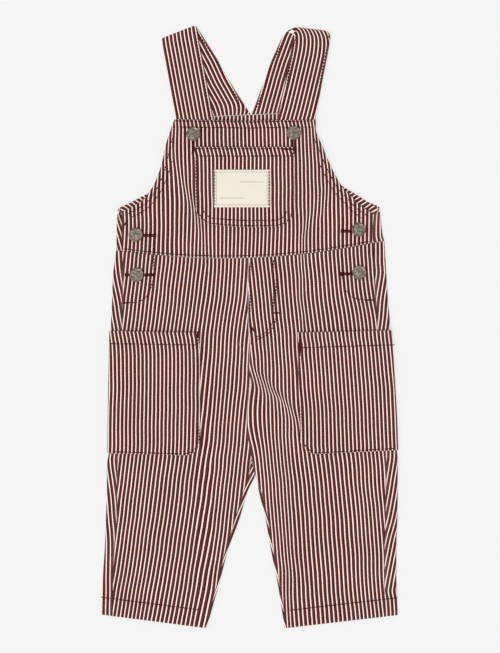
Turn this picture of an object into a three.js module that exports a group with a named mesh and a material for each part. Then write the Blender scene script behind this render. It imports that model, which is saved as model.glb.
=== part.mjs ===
// A small child's bib dungarees in striped twill, laid face up on a table.
// Millimetres. X runs to the viewer's right, +Y towards the straps, +Z up off the table.
// Left and right are the viewer's. In the tables, x is measured from the centre front and
// up from the lowest point of the hems. The back panels lie on the table, come round the
// sides, and meet the front panels at the side seams.
import * as THREE from 'three';

// Cloth
const WALL = 1.2; // one layer of twill with its turnings
const BETWEEN = 0.6; // air between the back of the garment and its front
const SEAM_GAP = 0.3; // pieces stop this far short of each other
const LAID_GAP = 0.35; // a patch lies this far above what carries it
const HEM_EXTRA = 0.6; // a turned hem stands this much prouder
const FOLD_STEPS = 4;

// Levels above the table
const FOLD_RADIUS = WALL + BETWEEN / 2;
const FRONT_UNDERSIDE = WALL + BETWEEN;

// Straps of double cloth, folded flat at the shoulder
const STRAP_WALL = 1.6;
const STRAP_FOLD_INSIDE = 0.2;
const STRAP_FOLD_OUTSIDE = STRAP_FOLD_INSIDE + STRAP_WALL;
const STRAP_STEPS = 7;
const STRAP_STRIPS = 3;
const STRAP_END_STEPS = 12;
const STRAPS = [
  { side: 'left', x: -71.8, up: 596, lean: 10.5, backLean: 32, width: 36.7, front: 117 },
  { side: 'right', x: 60.8, up: 599, lean: -9.3, backLean: -24.2, width: 36.5, front: 119.6 },
];

// Front bib, from its top edge to the waist seam. Each row is a gentle curve through its
// left end, its middle and its right end; steps is how many strips run to the next row.
const BIB_ROWS = [
  { name: 'top', left: [-75.4, 508.5], middle: 507, right: [66, 508], steps: 1 },
  { name: 'hem stitch', left: [-78.5, 500], middle: 498.5, right: [65.6, 499.5], steps: 2 },
  { name: 'pocket mouth', left: [-84.7, 480.5], middle: 480.3, right: [72.8, 480.5], steps: 1 },
  { name: 'pocket hem', left: [-86.4, 471.5], middle: 471.3, right: [76.3, 471.5], steps: 2 },
  { name: 'armhole', left: [-91.5, 454], middle: 453, right: [84.6, 454], steps: 2 },
  { name: 'armhole', left: [-96.7, 442], middle: 436, right: [93, 440], steps: 1 },
  { name: 'armhole', left: [-101, 435.5], middle: 426, right: [100, 433], steps: 1 },
  { name: 'armhole', left: [-106, 428.5], middle: 417, right: [107, 425], steps: 1 },
  { name: 'armhole', left: [-112, 424.5], middle: 409, right: [113, 420], steps: 1 },
  { name: 'pocket foot', left: [-119.5, 420], middle: 400.5, right: [119.5, 416], steps: 1 },
  { name: 'placket top', left: [-127.5, 415.5], middle: 392, right: [121.7, 411], steps: 1 },
  { name: 'side', left: [-127.5, 403], middle: 385, right: [122.2, 402], steps: 1 },
  { name: 'side', left: [-127.5, 390], middle: 377.5, right: [122.4, 393.5], steps: 1 },
  { name: 'waist', left: [-127.5, 377.3], middle: 370.3, right: [122.6, 385.3], steps: 0 },
];
const BIB_POCKET = { left: -55.5, right: 44.5 };
const BIB_STRIPS = { left: 4, pocket: 8, right: 4 };
const BIB_POCKET_ROWS = [
  { row: 'pocket mouth', left: -55.5, right: 44.5, middle: 480.3 },
  { row: 'pocket hem', left: -55.5, right: 44.5, middle: 471.3 },
  { row: 'side', left: -55.5, right: 44.5, middle: 453 },
  { row: 'side', left: -55.2, right: 44.2, middle: 436 },
  { row: 'side', left: -54.5, right: 43.6, middle: 417 },
  { row: 'corner', left: -51, right: 40.2, middle: 407 },
  { row: 'foot', left: -41, right: 28, middle: 400.5 },
];
const LABEL = { x: -8.2, up: 439.2, width: 55.5, height: 37.5, wall: 1, strips: 4 };

// Back bib, from the strap ends to the waist seam. It goes round the sides below its armholes.
const BACK_BIB_ROWS = [
  { left: [-44.5, 511], middle: 513, right: [43, 514.6], sides: false },
  { left: [-51, 493], middle: 493, right: [49, 495], sides: false },
  { left: [-62, 470], middle: 468, right: [61, 472], sides: false },
  { left: [-78, 450], middle: 445, right: [78, 453], sides: false },
  { left: [-93, 439], middle: 428, right: [93, 441.5], sides: false },
  { left: [-107, 432], middle: 416, right: [107, 433], sides: false },
  { left: [-120, 425], middle: 404, right: [118, 426], sides: false },
  { left: [-132.7, 417.5], middle: 392, right: [130, 419.5], sides: true, seams: [-127.7, 121.5] },
  { left: [-133.2, 403], middle: 385, right: [131.3, 404], sides: true, seams: [-127.7, 122] },
  { left: [-133.4, 390], middle: 377.5, right: [132.6, 393], sides: true, seams: [-127.7, 122.3] },
  { left: [-133.8, 377.9], middle: 370.3, right: [134.3, 387], sides: true, seams: [-127.7, 122.6] },
];
const BACK_BIB_STRIPS = 10;

// Legs, a row for each section from the waist to the hem: the side fold, the side seam, and
// the front panel's inner edge, which is the centre seam down to the crotch and the inside
// leg seam below it. fold is the inside leg fold, from the crotch down.
const LEG_ROWS = {
  left: [
    { name: 'waist', side: [-133.8, 378], seam: -127.7, inner: [-1.6, 370], steps: 2 },
    { name: 'placket', side: [-137, 351], seam: -127, inner: [-2, 345], steps: 2 },
    { name: 'placket foot', side: [-138, 324], seam: -127, inner: [-2, 319], steps: 1 },
    { name: 'hip', side: [-138.7, 310], seam: -127.3, inner: [-1.7, 306], steps: 1 },
    { name: 'pocket mouth', side: [-139, 297.3], seam: -128, inner: [-1.3, 294.5], steps: 1 },
    { name: 'pocket hem', side: [-139.4, 284.5], seam: -129, inner: [-1, 282], steps: 2 },
    { name: 'pocket', side: [-140, 248], seam: -130, inner: [-0.6, 246], steps: 3 },
    { name: 'pocket', side: [-140.6, 208], seam: -131, inner: [0, 206], steps: 3 },
    { name: 'pocket foot', side: [-141, 175], seam: -131.5, inner: [1.2, 171], steps: 1 },
    { name: 'crotch', side: [-142.3, 168.5], seam: -132, inner: [0.4, 164.3], fold: 3.6, steps: 1 },
    { name: 'thigh', side: [-143, 158], seam: -132.6, inner: [-1.2, 152.8], fold: 4.8, steps: 1 },
    { name: 'thigh', side: [-143, 138], seam: -132.8, inner: [-6.6, 136.8], fold: -1.8, steps: 2 },
    { name: 'knee', side: [-144, 112], seam: -132.8, inner: [-14.6, 109.8], fold: -10.4, steps: 2 },
    { name: 'calf', side: [-145, 83], seam: -135.3, inner: [-24.6, 77.8], fold: -22, steps: 2 },
    { name: 'calf', side: [-147, 53], seam: -137, inner: [-32.8, 44.9], fold: -30.7, steps: 2 },
    { name: 'hem stitch', side: [-148, 33], seam: -137.1, inner: [-40.6, 16.9], fold: -38.6, steps: 2 },
    { name: 'hem', side: [-148.8, 13.7], seam: -137.3, inner: [-45.3, 0.4], fold: -43.3, steps: 0 },
  ],
  right: [
    { name: 'waist', side: [134.3, 387], seam: 122.6, inner: [-1.3, 370], steps: 2 },
    { name: 'placket', side: [136, 358], seam: 124, inner: [-1.7, 345], steps: 2 },
    { name: 'placket foot', side: [138, 326.5], seam: 125.5, inner: [-1.7, 319], steps: 1 },
    { name: 'hip', side: [139.3, 312], seam: 126.3, inner: [-1.4, 306], steps: 1 },
    { name: 'pocket mouth', side: [140.3, 297.7], seam: 127, inner: [-1, 294.5], steps: 1 },
    { name: 'pocket hem', side: [141.2, 283.3], seam: 128.2, inner: [-0.7, 282], steps: 2 },
    { name: 'pocket', side: [143.3, 248], seam: 130.8, inner: [-0.3, 246], steps: 3 },
    { name: 'pocket', side: [145.6, 208], seam: 133.5, inner: [0.3, 206], steps: 3 },
    { name: 'pocket foot', side: [146.6, 178.2], seam: 135, inner: [1.5, 171], steps: 1 },
    { name: 'crotch', side: [147.5, 171], seam: 135.6, inner: [7, 164.3], fold: 4.1, steps: 1 },
    { name: 'thigh', side: [147.6, 158], seam: 136, inner: [8.6, 152.5], fold: 5.6, steps: 1 },
    { name: 'thigh', side: [147.6, 140], seam: 135.9, inner: [12, 136.8], fold: 8.8, steps: 2 },
    { name: 'knee', side: [147.4, 112], seam: 135.3, inner: [18, 109.8], fold: 15.4, steps: 2 },
    { name: 'calf', side: [146.3, 83], seam: 134.3, inner: [23.6, 77.8], fold: 21, steps: 2 },
    { name: 'calf', side: [146.2, 53], seam: 134.3, inner: [29.8, 44.9], fold: 27.6, steps: 2 },
    { name: 'hem stitch', side: [147, 31.6], seam: 134.3, inner: [34.2, 17.2], fold: 32, steps: 2 },
    { name: 'hem', side: [147.6, 13.2], seam: 134.5, inner: [36.6, 0.3], fold: 34.5, steps: 0 },
  ],
};
const LEG_STRIPS = { pocket: 6, inner: 6 };

// Side pockets: how far across the leg they reach, and how their free lower corner rounds off
const SIDE_POCKET_SHARE = { left: 0.645, right: 0.66 };
const SIDE_POCKET_CORNER = [
  { above: 12, inset: 1.5 },
  { above: 5, inset: 6 },
  { above: 0, inset: 17 },
];
const SIDE_POCKET_BEHIND_STRIPS = 3;

// Button stands under the side openings
const STAND_WIDTH = 30;
const STAND_ROWS = {
  left: [[-127.7, 413], [-127.7, 377], [-127, 345], [-127, 325]],
  right: [[121.8, 409], [122.8, 385], [124.2, 350], [125.6, 327]],
};

// Places where a layer is raised by what lies under it: over the strap ends, over the
// button stands, and over the part of each side pocket that goes round to the back
const EASE = 25; // a raised layer comes down over this distance
const STRAP_RISE = 2 * STRAP_FOLD_OUTSIDE + SEAM_GAP - FRONT_UNDERSIDE;
const STAND_RISE = WALL + SEAM_GAP;
const POCKET_RISE = WALL + SEAM_GAP;
const RISES = {
  strapEnds: [
    { from: [-110, 478], to: [-27, 520], rise: STRAP_RISE },
    { from: [21, 478], to: [110, 520], rise: STRAP_RISE },
  ],
  stands: [
    { from: [-160, 318], to: [-91, 416], rise: STAND_RISE },
    { from: [88, 318], to: [160, 416], rise: STAND_RISE },
  ],
  pocketsBehind: [
    { from: [-200, 164], to: [-73, 304], rise: POCKET_RISE },
    { from: [71, 164], to: [200, 304], rise: POCKET_RISE },
  ],
};

// The largest creases: soft ridges between two points
const CREASES = [
  { from: [-74, 466], to: [-64, 430], height: 1.4, width: 5 },
  { from: [77, 433], to: [70, 408], height: 1.4, width: 5 },
  { from: [55, 364], to: [57, 350], height: 1.5, width: 5 },
  { from: [57, 350], to: [50, 326], height: 1.5, width: 5 },
  { from: [1, 266], to: [18, 236], height: 2, width: 5 },
  { from: [18, 236], to: [38, 219], height: 2, width: 5 },
  { from: [40, 80], to: [62, 52], height: 1.2, width: 6 },
];

// Tack buttons: half profile of the cap, as radius and height
const BUTTON_PROFILE = [[0, 0], [5.4, 0], [6.6, 0.7], [7, 1.6], [6.6, 2.4], [5.7, 2.7], [4.9, 2.2], [0, 2.5]];
const BUTTON_SIDES = 16;
const BUTTONS = [
  { name: 'bib_button_left', x: -56.6, up: 493.6 },
  { name: 'bib_button_right', x: 43.6, up: 494.6 },
  { name: 'side_button_left_upper', x: -114, up: 393 },
  { name: 'side_button_left_lower', x: -113, up: 353 },
  { name: 'side_button_right_upper', x: 108.5, up: 398 },
  { name: 'side_button_right_lower', x: 109, up: 355.4 },
];

const TWILL = new THREE.MeshStandardMaterial({ color: 0x8f6a66, roughness: 0.92, metalness: 0 });
const LABEL_CLOTH = new THREE.MeshStandardMaterial({ color: 0xe6dfd0, roughness: 0.85, metalness: 0 });
const ANTIQUE_METAL = new THREE.MeshStandardMaterial({ color: 0x79765f, roughness: 0.45, metalness: 1 });

const lerp = THREE.MathUtils.lerp;
const lerpPair = (a, b, t) => [lerp(a[0], b[0], t), lerp(a[1], b[1], t)];

// Heights

// 1 inside a span, easing to 0 beyond either end of it
function insideSpan(value, low, high) {
  const outside = Math.max(low - value, value - high, 0);
  return 1 - THREE.MathUtils.smoothstep(outside, 0, EASE);
}

function raised(zones, x, up) {
  let height = 0;
  for (const { from, to, rise } of zones) {
    height += rise * insideSpan(x, from[0], to[0]) * insideSpan(up, from[1], to[1]);
  }
  return height;
}

function creased(x, up) {
  const point = new THREE.Vector2(x, up);
  let height = 0;
  for (const crease of CREASES) {
    const start = new THREE.Vector2(...crease.from);
    const along = new THREE.Vector2(...crease.to).sub(start);
    const share = THREE.MathUtils.clamp(point.clone().sub(start).dot(along) / along.lengthSq(), 0, 1);
    const away = point.distanceTo(start.addScaledVector(along, share)) / crease.width;
    height = Math.max(height, crease.height * Math.exp(-away * away));
  }
  return height;
}

const floorHeight = (x, up) => raised(RISES.pocketsBehind, x, up);

function frontHeight(x, up) {
  const stacked = raised(RISES.strapEnds, x, up) + raised(RISES.stands, x, up);
  return FRONT_UNDERSIDE + floorHeight(x, up) + stacked + creased(x, up);
}

// Sheets of cloth

// A closed wall from a grid of places, each with a point on its right side (out) and one on
// its wrong side (in). A place may be missing where the piece ends early.
function sheetGeometry(grid) {
  const points = [];
  const numbers = grid.map((row) => row.map((place) => {
    if (!place) return null;
    points.push(...place.out, ...place.in);
    return points.length / 3 - 2;
  }));
  const faces = [];
  const quad = (a, b, c, d) => faces.push(a, b, c, a, c, d);
  const hasCell = (r, c) => {
    const corners = [numbers[r]?.[c], numbers[r]?.[c + 1], numbers[r + 1]?.[c], numbers[r + 1]?.[c + 1]];
    return corners.every((corner) => Number.isInteger(corner));
  };
  for (let r = 0; r < grid.length - 1; r += 1) {
    for (let c = 0; c < grid[r].length - 1; c += 1) {
      if (!hasCell(r, c)) continue;
      const [a, b, d, e] = [numbers[r][c], numbers[r][c + 1], numbers[r + 1][c], numbers[r + 1][c + 1]];
      quad(a, b, e, d);
      quad(d + 1, e + 1, b + 1, a + 1);
      if (!hasCell(r - 1, c)) quad(b, a, a + 1, b + 1);
      if (!hasCell(r + 1, c)) quad(d, e, e + 1, d + 1);
      if (!hasCell(r, c - 1)) quad(a, d, d + 1, a + 1);
      if (!hasCell(r, c + 1)) quad(e, b, b + 1, e + 1);
    }
  }
  if (signedVolume(points, faces) < 0) faces.reverse();
  const geometry = new THREE.BufferGeometry();
  geometry.setAttribute('position', new THREE.Float32BufferAttribute(points, 3));
  geometry.setIndex(faces);
  geometry.computeVertexNormals();
  return geometry;
}

function signedVolume(points, faces) {
  const corner = (n) => new THREE.Vector3().fromArray(points, 3 * faces[n]);
  let volume = 0;
  for (let n = 0; n < faces.length; n += 3) {
    volume += corner(n).dot(corner(n + 1).cross(corner(n + 2)));
  }
  return volume;
}

// A place on a front panel or a patch: right side up
function facingUp([x, up], underside, wall = WALL) {
  return { out: [x, up, underside + wall], in: [x, up, underside] };
}

// A place on a back panel: right side down on the table
function facingDown([x, up]) {
  const z = floorHeight(x, up);
  return { out: [x, up, z], in: [x, up, z + WALL] };
}

// Places from the table round a side fold to the layer above. centre is the middle of the
// fold, outward is -1 at a left-hand fold and 1 at a right-hand one, and beyond is how far
// the cloth lies outside the fold of the garment itself.
function roundTheFold(centre, outward, beyond = 0) {
  const middle = floorHeight(...centre) + FOLD_RADIUS;
  const outer = FOLD_RADIUS + beyond;
  const places = [];
  for (let step = 0; step <= FOLD_STEPS; step += 1) {
    const angle = Math.PI * (step / FOLD_STEPS) - Math.PI / 2;
    const at = (radius) => [
      centre[0] + outward * radius * Math.cos(angle),
      centre[1],
      middle + radius * Math.sin(angle),
    ];
    places.push({ out: at(outer), in: at(outer - WALL) });
  }
  return places;
}

// Rows between the rows of a table, each as a table row of its own
function filledRows(rows, mix, every = 1) {
  const filled = [];
  rows.forEach((row, n) => {
    const steps = Math.max(1, Math.ceil(row.steps / every));
    if (row.steps === 0) {
      filled.push(row);
      return;
    }
    for (let step = 0; step < steps; step += 1) {
      filled.push(step === 0 ? row : mix(row, rows[n + 1], step / steps));
    }
  });
  return filled;
}

// Bib

// The point of a bib row that is a share of the way across it
function acrossBib(row, share) {
  const x = lerp(row.left[0], row.right[0], share);
  const ends = row.left[1] * (1 - share) * (1 - 2 * share) + row.right[1] * share * (2 * share - 1);
  return [x, ends + row.middle * 4 * share * (1 - share)];
}

const acrossBibAt = (row, x) => acrossBib(row, (x - row.left[0]) / (row.right[0] - row.left[0]));

const mixBibRows = (a, b, t) => ({
  name: 'between',
  left: lerpPair(a.left, b.left, t),
  middle: lerp(a.middle, b.middle, t),
  right: lerpPair(a.right, b.right, t),
});

const WAIST_ROW = BIB_ROWS[BIB_ROWS.length - 1];
const waistUp = (x) => acrossBibAt(WAIST_ROW, x)[1];

function bibColumns(row) {
  const xs = [];
  for (let n = 0; n < BIB_STRIPS.left; n += 1) {
    xs.push(lerp(row.left[0], BIB_POCKET.left, n / BIB_STRIPS.left));
  }
  for (let n = 0; n < BIB_STRIPS.pocket; n += 1) {
    xs.push(lerp(BIB_POCKET.left, BIB_POCKET.right, n / BIB_STRIPS.pocket));
  }
  for (let n = 0; n <= BIB_STRIPS.right; n += 1) {
    xs.push(lerp(BIB_POCKET.right, row.right[0], n / BIB_STRIPS.right));
  }
  return xs;
}

function frontBib() {
  const grid = filledRows(BIB_ROWS, mixBibRows).map((row) => {
    const wall = WALL + (row.name === 'top' ? HEM_EXTRA : 0);
    return bibColumns(row).map((x) => {
      const point = acrossBibAt(row, x);
      return facingUp(point, frontHeight(...point), wall);
    });
  });
  return sheetGeometry(grid);
}

// The row of the bib whose middle is this high
function bibRowAt(middle) {
  const below = BIB_ROWS.findIndex((row) => row.middle <= middle);
  const upper = BIB_ROWS[below - 1];
  const lower = BIB_ROWS[below];
  return mixBibRows(upper, lower, (upper.middle - middle) / (upper.middle - lower.middle));
}

function bibPocket() {
  const grid = BIB_POCKET_ROWS.map((pocketRow) => {
    const row = bibRowAt(pocketRow.middle);
    const wall = WALL + (pocketRow.row === 'pocket mouth' ? HEM_EXTRA : 0);
    const places = [];
    for (let n = 0; n <= BIB_STRIPS.pocket; n += 1) {
      const point = acrossBibAt(row, lerp(pocketRow.left, pocketRow.right, n / BIB_STRIPS.pocket));
      places.push(facingUp(point, frontHeight(...point) + WALL + LAID_GAP, wall));
    }
    return places;
  });
  return sheetGeometry(grid);
}

function label() {
  const { x, up, width, height, wall, strips } = LABEL;
  const grid = [];
  for (let r = 0; r <= strips; r += 1) {
    const row = [];
    for (let c = 0; c <= strips; c += 1) {
      const point = [x + width * (c / strips - 0.5), up - height * (r / strips - 0.5)];
      row.push(facingUp(point, frontHeight(...point) + 2 * (WALL + LAID_GAP), wall));
    }
    grid.push(row);
  }
  return sheetGeometry(grid);
}

function backBib() {
  const grid = BACK_BIB_ROWS.map((row, n) => {
    const isWaist = n === BACK_BIB_ROWS.length - 1;
    const at = (x) => (isWaist ? [x, waistUp(x)] : acrossBibAt(row, x));
    const ends = row.sides ? [row.left[0] + FOLD_RADIUS, row.right[0] - FOLD_RADIUS] : [row.left[0], row.right[0]];
    const floor = [];
    for (let strip = 0; strip <= BACK_BIB_STRIPS; strip += 1) {
      floor.push(facingDown(at(lerp(ends[0], ends[1], strip / BACK_BIB_STRIPS))));
    }
    if (!row.sides) {
      const none = new Array(FOLD_STEPS + 1).fill(null);
      return [...none, ...floor, ...none];
    }
    const left = sideTurn(at(ends[0]), -1, at(row.seams[0] - SEAM_GAP / 2));
    const right = sideTurn(at(ends[1]), 1, at(row.seams[1] + SEAM_GAP / 2));
    return [...left.reverse(), ...floor, ...right];
  });
  return sheetGeometry(grid);
}

// A back panel from its fold up and over to its seam on the front, without the fold's first
// place, which belongs to the part on the table
function sideTurn(centre, outward, seam) {
  const turned = roundTheFold(centre, outward).slice(1);
  const underside = floorHeight(...seam) + FRONT_UNDERSIDE;
  return [...turned, facingUp(seam, underside)];
}

// Legs

const mixLegRows = (a, b, t) => ({
  name: 'between',
  side: lerpPair(a.side, b.side, t),
  seam: lerp(a.seam, b.seam, t),
  inner: lerpPair(a.inner, b.inner, t),
  fold: a.fold === undefined ? undefined : lerp(a.fold, b.fold, t),
});

// The point of a leg row at this x: rows are straight, and the first follows the waist seam
function acrossLeg(row, x) {
  if (row.name === 'waist') return [x, waistUp(x) - SEAM_GAP];
  const share = (x - row.side[0]) / (row.inner[0] - row.side[0]);
  return [x, lerp(row.side[1], row.inner[1], share)];
}

const outwardOf = (side) => (side === 'left' ? -1 : 1);

// The x of the side pocket's inner edge, which is a line of strips all the way down the leg
const pocketLine = (side, row) => lerp(row.side[0], row.inner[0], SIDE_POCKET_SHARE[side]);

function frontLegColumns(side, row) {
  const seam = row.seam - outwardOf(side) * (SEAM_GAP / 2);
  const middle = pocketLine(side, row);
  const xs = [];
  for (let n = 0; n < LEG_STRIPS.pocket; n += 1) {
    xs.push(lerp(seam, middle, n / LEG_STRIPS.pocket));
  }
  for (let n = 0; n <= LEG_STRIPS.inner; n += 1) {
    xs.push(lerp(middle, row.inner[0], n / LEG_STRIPS.inner));
  }
  return xs;
}

function frontLeg(side) {
  const grid = filledRows(LEG_ROWS[side], mixLegRows).map((row) => {
    const wall = WALL + (row.name === 'hem' ? HEM_EXTRA : 0);
    return frontLegColumns(side, row).map((x) => {
      const point = acrossLeg(row, x);
      return facingUp(point, frontHeight(...point), wall);
    });
  });
  return sheetGeometry(grid);
}

function backLeg(side) {
  const outward = outwardOf(side);
  const grid = filledRows(LEG_ROWS[side], mixLegRows, 2).map((row) => {
    const at = (x) => acrossLeg(row, x);
    const sideCentre = at(row.side[0] - outward * FOLD_RADIUS);
    const seam = at(row.seam + outward * (SEAM_GAP / 2));
    const outer = sideTurn(sideCentre, outward, seam).reverse();
    const floor = [facingDown(sideCentre)];
    frontLegColumns(side, row).forEach((x, n) => {
      if (n % 2 === 0) floor.push(facingDown(at(x)));
    });
    if (row.fold === undefined) {
      return [...outer, ...floor, ...new Array(FOLD_STEPS + 2).fill(null)];
    }
    const innerCentre = at(row.fold + outward * FOLD_RADIUS);
    const innerSeam = at(row.inner[0] - outward * SEAM_GAP);
    return [...outer, ...floor, facingDown(innerCentre), ...sideTurn(innerCentre, -outward, innerSeam)];
  });
  return sheetGeometry(grid);
}

// Side pockets: made from the leg's own points, moved out, with the same strips

function sidePocketRows(side) {
  const rows = filledRows(LEG_ROWS[side], mixLegRows);
  const first = rows.findIndex((row) => row.name === 'pocket mouth');
  const last = rows.findIndex((row) => row.name === 'pocket foot');
  const foot = rows[last];
  const kept = rows.slice(first, last).filter((row) => row.inner[1] - foot.inner[1] > SIDE_POCKET_CORNER[0].above);
  const above = kept[kept.length - 1];
  const corner = SIDE_POCKET_CORNER.map(({ above: rise, inset }) => {
    const share = (above.inner[1] - foot.inner[1] - rise) / (above.inner[1] - foot.inner[1]);
    return { ...mixLegRows(above, foot, share), inset };
  });
  return [...kept, ...corner];
}

function sidePocket(side) {
  const outward = outwardOf(side);
  const beyond = SEAM_GAP + WALL;
  const grid = sidePocketRows(side).map((row) => {
    const at = (x) => acrossLeg(row, x);
    const wall = WALL + (row.name === 'pocket mouth' ? HEM_EXTRA : 0);
    const seam = row.seam - outward * (SEAM_GAP / 2);
    const lineX = pocketLine(side, row);
    const edge = lineX + outward * (row.inset ?? 0);
    const front = [];
    for (let n = 0; n <= LEG_STRIPS.pocket; n += 1) {
      const point = at(lerp(edge, seam, n / LEG_STRIPS.pocket));
      front.push(facingUp(point, frontHeight(...point) + WALL + SEAM_GAP, wall));
    }
    const centre = at(row.side[0] - outward * FOLD_RADIUS);
    const fold = roundTheFold(centre, outward, beyond).reverse();
    const behind = [];
    for (let n = 0; n <= SIDE_POCKET_BEHIND_STRIPS; n += 1) {
      const point = at(lerp(seam, lineX, n / LEG_STRIPS.pocket));
      behind.push({ out: [...point, 0], in: [...point, WALL] });
    }
    return [...front, ...fold, ...behind];
  });
  return sheetGeometry(grid);
}

function buttonStand(side) {
  const outward = outwardOf(side);
  const grid = STAND_ROWS[side].map(([x, up]) => (
    [0, 0.5, 1].map((share) => {
      const point = [x - outward * (SEAM_GAP / 2 + share * STAND_WIDTH), up];
      return facingUp(point, floorHeight(...point) + FRONT_UNDERSIDE);
    })
  ));
  return sheetGeometry(grid);
}

// Straps

// A strap is a straight ribbon folded about a slanting line. The ribbon's own measures are
// along, from the middle of the fold towards the back, and across. An along below 0 is on
// the front.
function strapRibbon({ x, up, lean, backLean, width }) {
  const down = (degrees) => {
    const angle = THREE.MathUtils.degToRad(degrees);
    return new THREE.Vector2(Math.sin(angle), -Math.cos(angle));
  };
  const front = down(lean);
  const foldLine = front.clone().sub(down(backLean)).normalize();
  const away = new THREE.Vector2(-foldLine.y, foldLine.x);
  if (away.y < 0) away.negate();
  const crosswise = new THREE.Vector2(-front.y, front.x);
  const tangent = new THREE.Vector2(x, up).addScaledVector(away, -STRAP_FOLD_OUTSIDE);
  const slant = -crosswise.dot(away) / -front.dot(away);
  const middleRadius = (STRAP_FOLD_INSIDE + STRAP_FOLD_OUTSIDE) / 2;
  const turn = Math.PI * middleRadius;

  const flat = (along, across) => (
    tangent.clone().addScaledVector(front, -along).addScaledVector(crosswise, across)
  );
  const place = (along, across) => {
    const point = flat(along, across);
    const past = point.clone().sub(tangent).dot(away);
    if (past <= 0) {
      const z = STRAP_FOLD_OUTSIDE + STRAP_FOLD_INSIDE;
      return facingUp([point.x, point.y], z, STRAP_WALL);
    }
    const foot = point.clone().addScaledVector(away, -past);
    const angle = Math.min(past / middleRadius, Math.PI);
    const under = Math.max(past - turn, 0);
    const at = (radius) => {
      const moved = foot.clone().addScaledVector(away, radius * Math.sin(angle) - under);
      return [moved.x, moved.y, STRAP_FOLD_OUTSIDE + radius * Math.cos(angle)];
    };
    return { out: at(STRAP_FOLD_OUTSIDE), in: at(STRAP_FOLD_INSIDE) };
  };
  // The along at which a line across the ribbon is this far past the start of the fold
  const alongAt = (past, across) => past / -front.dot(away) + across * slant;
  return { place, alongAt, turn, width };
}

function strap(cut) {
  const ribbon = strapRibbon(cut);
  const grid = [];
  const addRow = (alongOf) => {
    const row = [];
    for (let n = 0; n <= STRAP_STRIPS; n += 1) {
      const across = cut.width * (n / STRAP_STRIPS - 0.5);
      row.push(ribbon.place(alongOf(across), across));
    }
    grid.push(row);
  };
  for (let step = 0; step < STRAP_STEPS; step += 1) {
    const share = step / STRAP_STEPS;
    addRow((across) => lerp(-cut.front, ribbon.alongAt(0, across), share));
  }
  for (let step = 0; step <= FOLD_STEPS; step += 1) {
    addRow((across) => ribbon.alongAt((ribbon.turn * step) / FOLD_STEPS, across));
  }
  // The back end is cut along the back bib's top edge, which slopes so little that a few
  // steps towards it find it
  const endAlong = (across) => {
    let along = ribbon.alongAt(ribbon.turn, across);
    for (let step = 0; step < STRAP_END_STEPS; step += 1) {
      const [x, up] = ribbon.place(along, across).out;
      along += up - acrossBibAt(BACK_BIB_ROWS[0], x)[1] - SEAM_GAP;
    }
    return along;
  };
  for (let step = 1; step <= STRAP_STEPS; step += 1) {
    const share = step / STRAP_STEPS;
    addRow((across) => lerp(ribbon.alongAt(ribbon.turn, across), endAlong(across), share));
  }
  return sheetGeometry(grid);
}

function buttonCap() {
  const profile = BUTTON_PROFILE.map(([radius, height]) => new THREE.Vector2(radius, height));
  const cap = new THREE.LatheGeometry(profile, BUTTON_SIDES);
  cap.rotateX(Math.PI / 2);
  return cap;
}

const dungarees = new THREE.Group();

function add(name, geometry, material = TWILL) {
  const mesh = new THREE.Mesh(geometry, material);
  mesh.name = name;
  dungarees.add(mesh);
  return mesh;
}

add('front_bib', frontBib());
add('back_bib', backBib());
add('bib_pocket', bibPocket());
add('label', label(), LABEL_CLOTH);
for (const side of ['left', 'right']) {
  add(`front_leg_${side}`, frontLeg(side));
  add(`back_leg_${side}`, backLeg(side));
  add(`side_pocket_${side}`, sidePocket(side));
  add(`button_stand_${side}`, buttonStand(side));
}
for (const cut of STRAPS) {
  add(`strap_${cut.side}`, strap(cut));
}
for (const { name, x, up } of BUTTONS) {
  const button = add(name, buttonCap(), ANTIQUE_METAL);
  button.position.set(x, up, frontHeight(x, up) + WALL + SEAM_GAP);
}

// The part's own frame has its origin at the middle of its underside
const box = new THREE.Box3().setFromObject(dungarees);
const middle = box.getCenter(new THREE.Vector3());
dungarees.position.set(-middle.x, -middle.y, -box.min.z);

export default dungarees;
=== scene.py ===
"""A small child's bib dungarees in striped cotton twill, laid flat and seen from straight above.

The cloth is built as fine shells on the frame's solids, from the same tables. In the tables,
x is measured from the centre front and up from the lowest point of the hems, in millimetres.
Left and right are the viewer's.
"""

import math

import bmesh
import bpy
import numpy as np
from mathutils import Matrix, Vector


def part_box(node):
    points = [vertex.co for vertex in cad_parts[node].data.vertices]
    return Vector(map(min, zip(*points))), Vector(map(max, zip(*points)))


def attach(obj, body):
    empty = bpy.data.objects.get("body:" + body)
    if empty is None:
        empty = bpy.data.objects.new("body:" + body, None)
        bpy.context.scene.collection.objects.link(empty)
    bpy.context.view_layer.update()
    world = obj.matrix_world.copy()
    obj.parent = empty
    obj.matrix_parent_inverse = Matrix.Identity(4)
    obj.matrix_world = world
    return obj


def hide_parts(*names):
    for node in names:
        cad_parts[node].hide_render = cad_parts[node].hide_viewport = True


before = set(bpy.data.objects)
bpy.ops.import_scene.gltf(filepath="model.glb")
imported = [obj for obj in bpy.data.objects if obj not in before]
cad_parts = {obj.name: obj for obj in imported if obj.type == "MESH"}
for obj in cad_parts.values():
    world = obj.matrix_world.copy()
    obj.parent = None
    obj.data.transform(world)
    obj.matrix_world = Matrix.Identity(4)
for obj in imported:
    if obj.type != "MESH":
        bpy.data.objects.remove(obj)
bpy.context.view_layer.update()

MM = 0.001

# Cloth
WALL = 1.2
BETWEEN = 0.6
SEAM_GAP = 0.3
LAID_GAP = 0.35
FOLD_RADIUS = WALL + BETWEEN / 2
FRONT_UNDERSIDE = WALL + BETWEEN
LAYER_RISE = WALL + SEAM_GAP
OUTWARD = {"left": -1, "right": 1}

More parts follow.
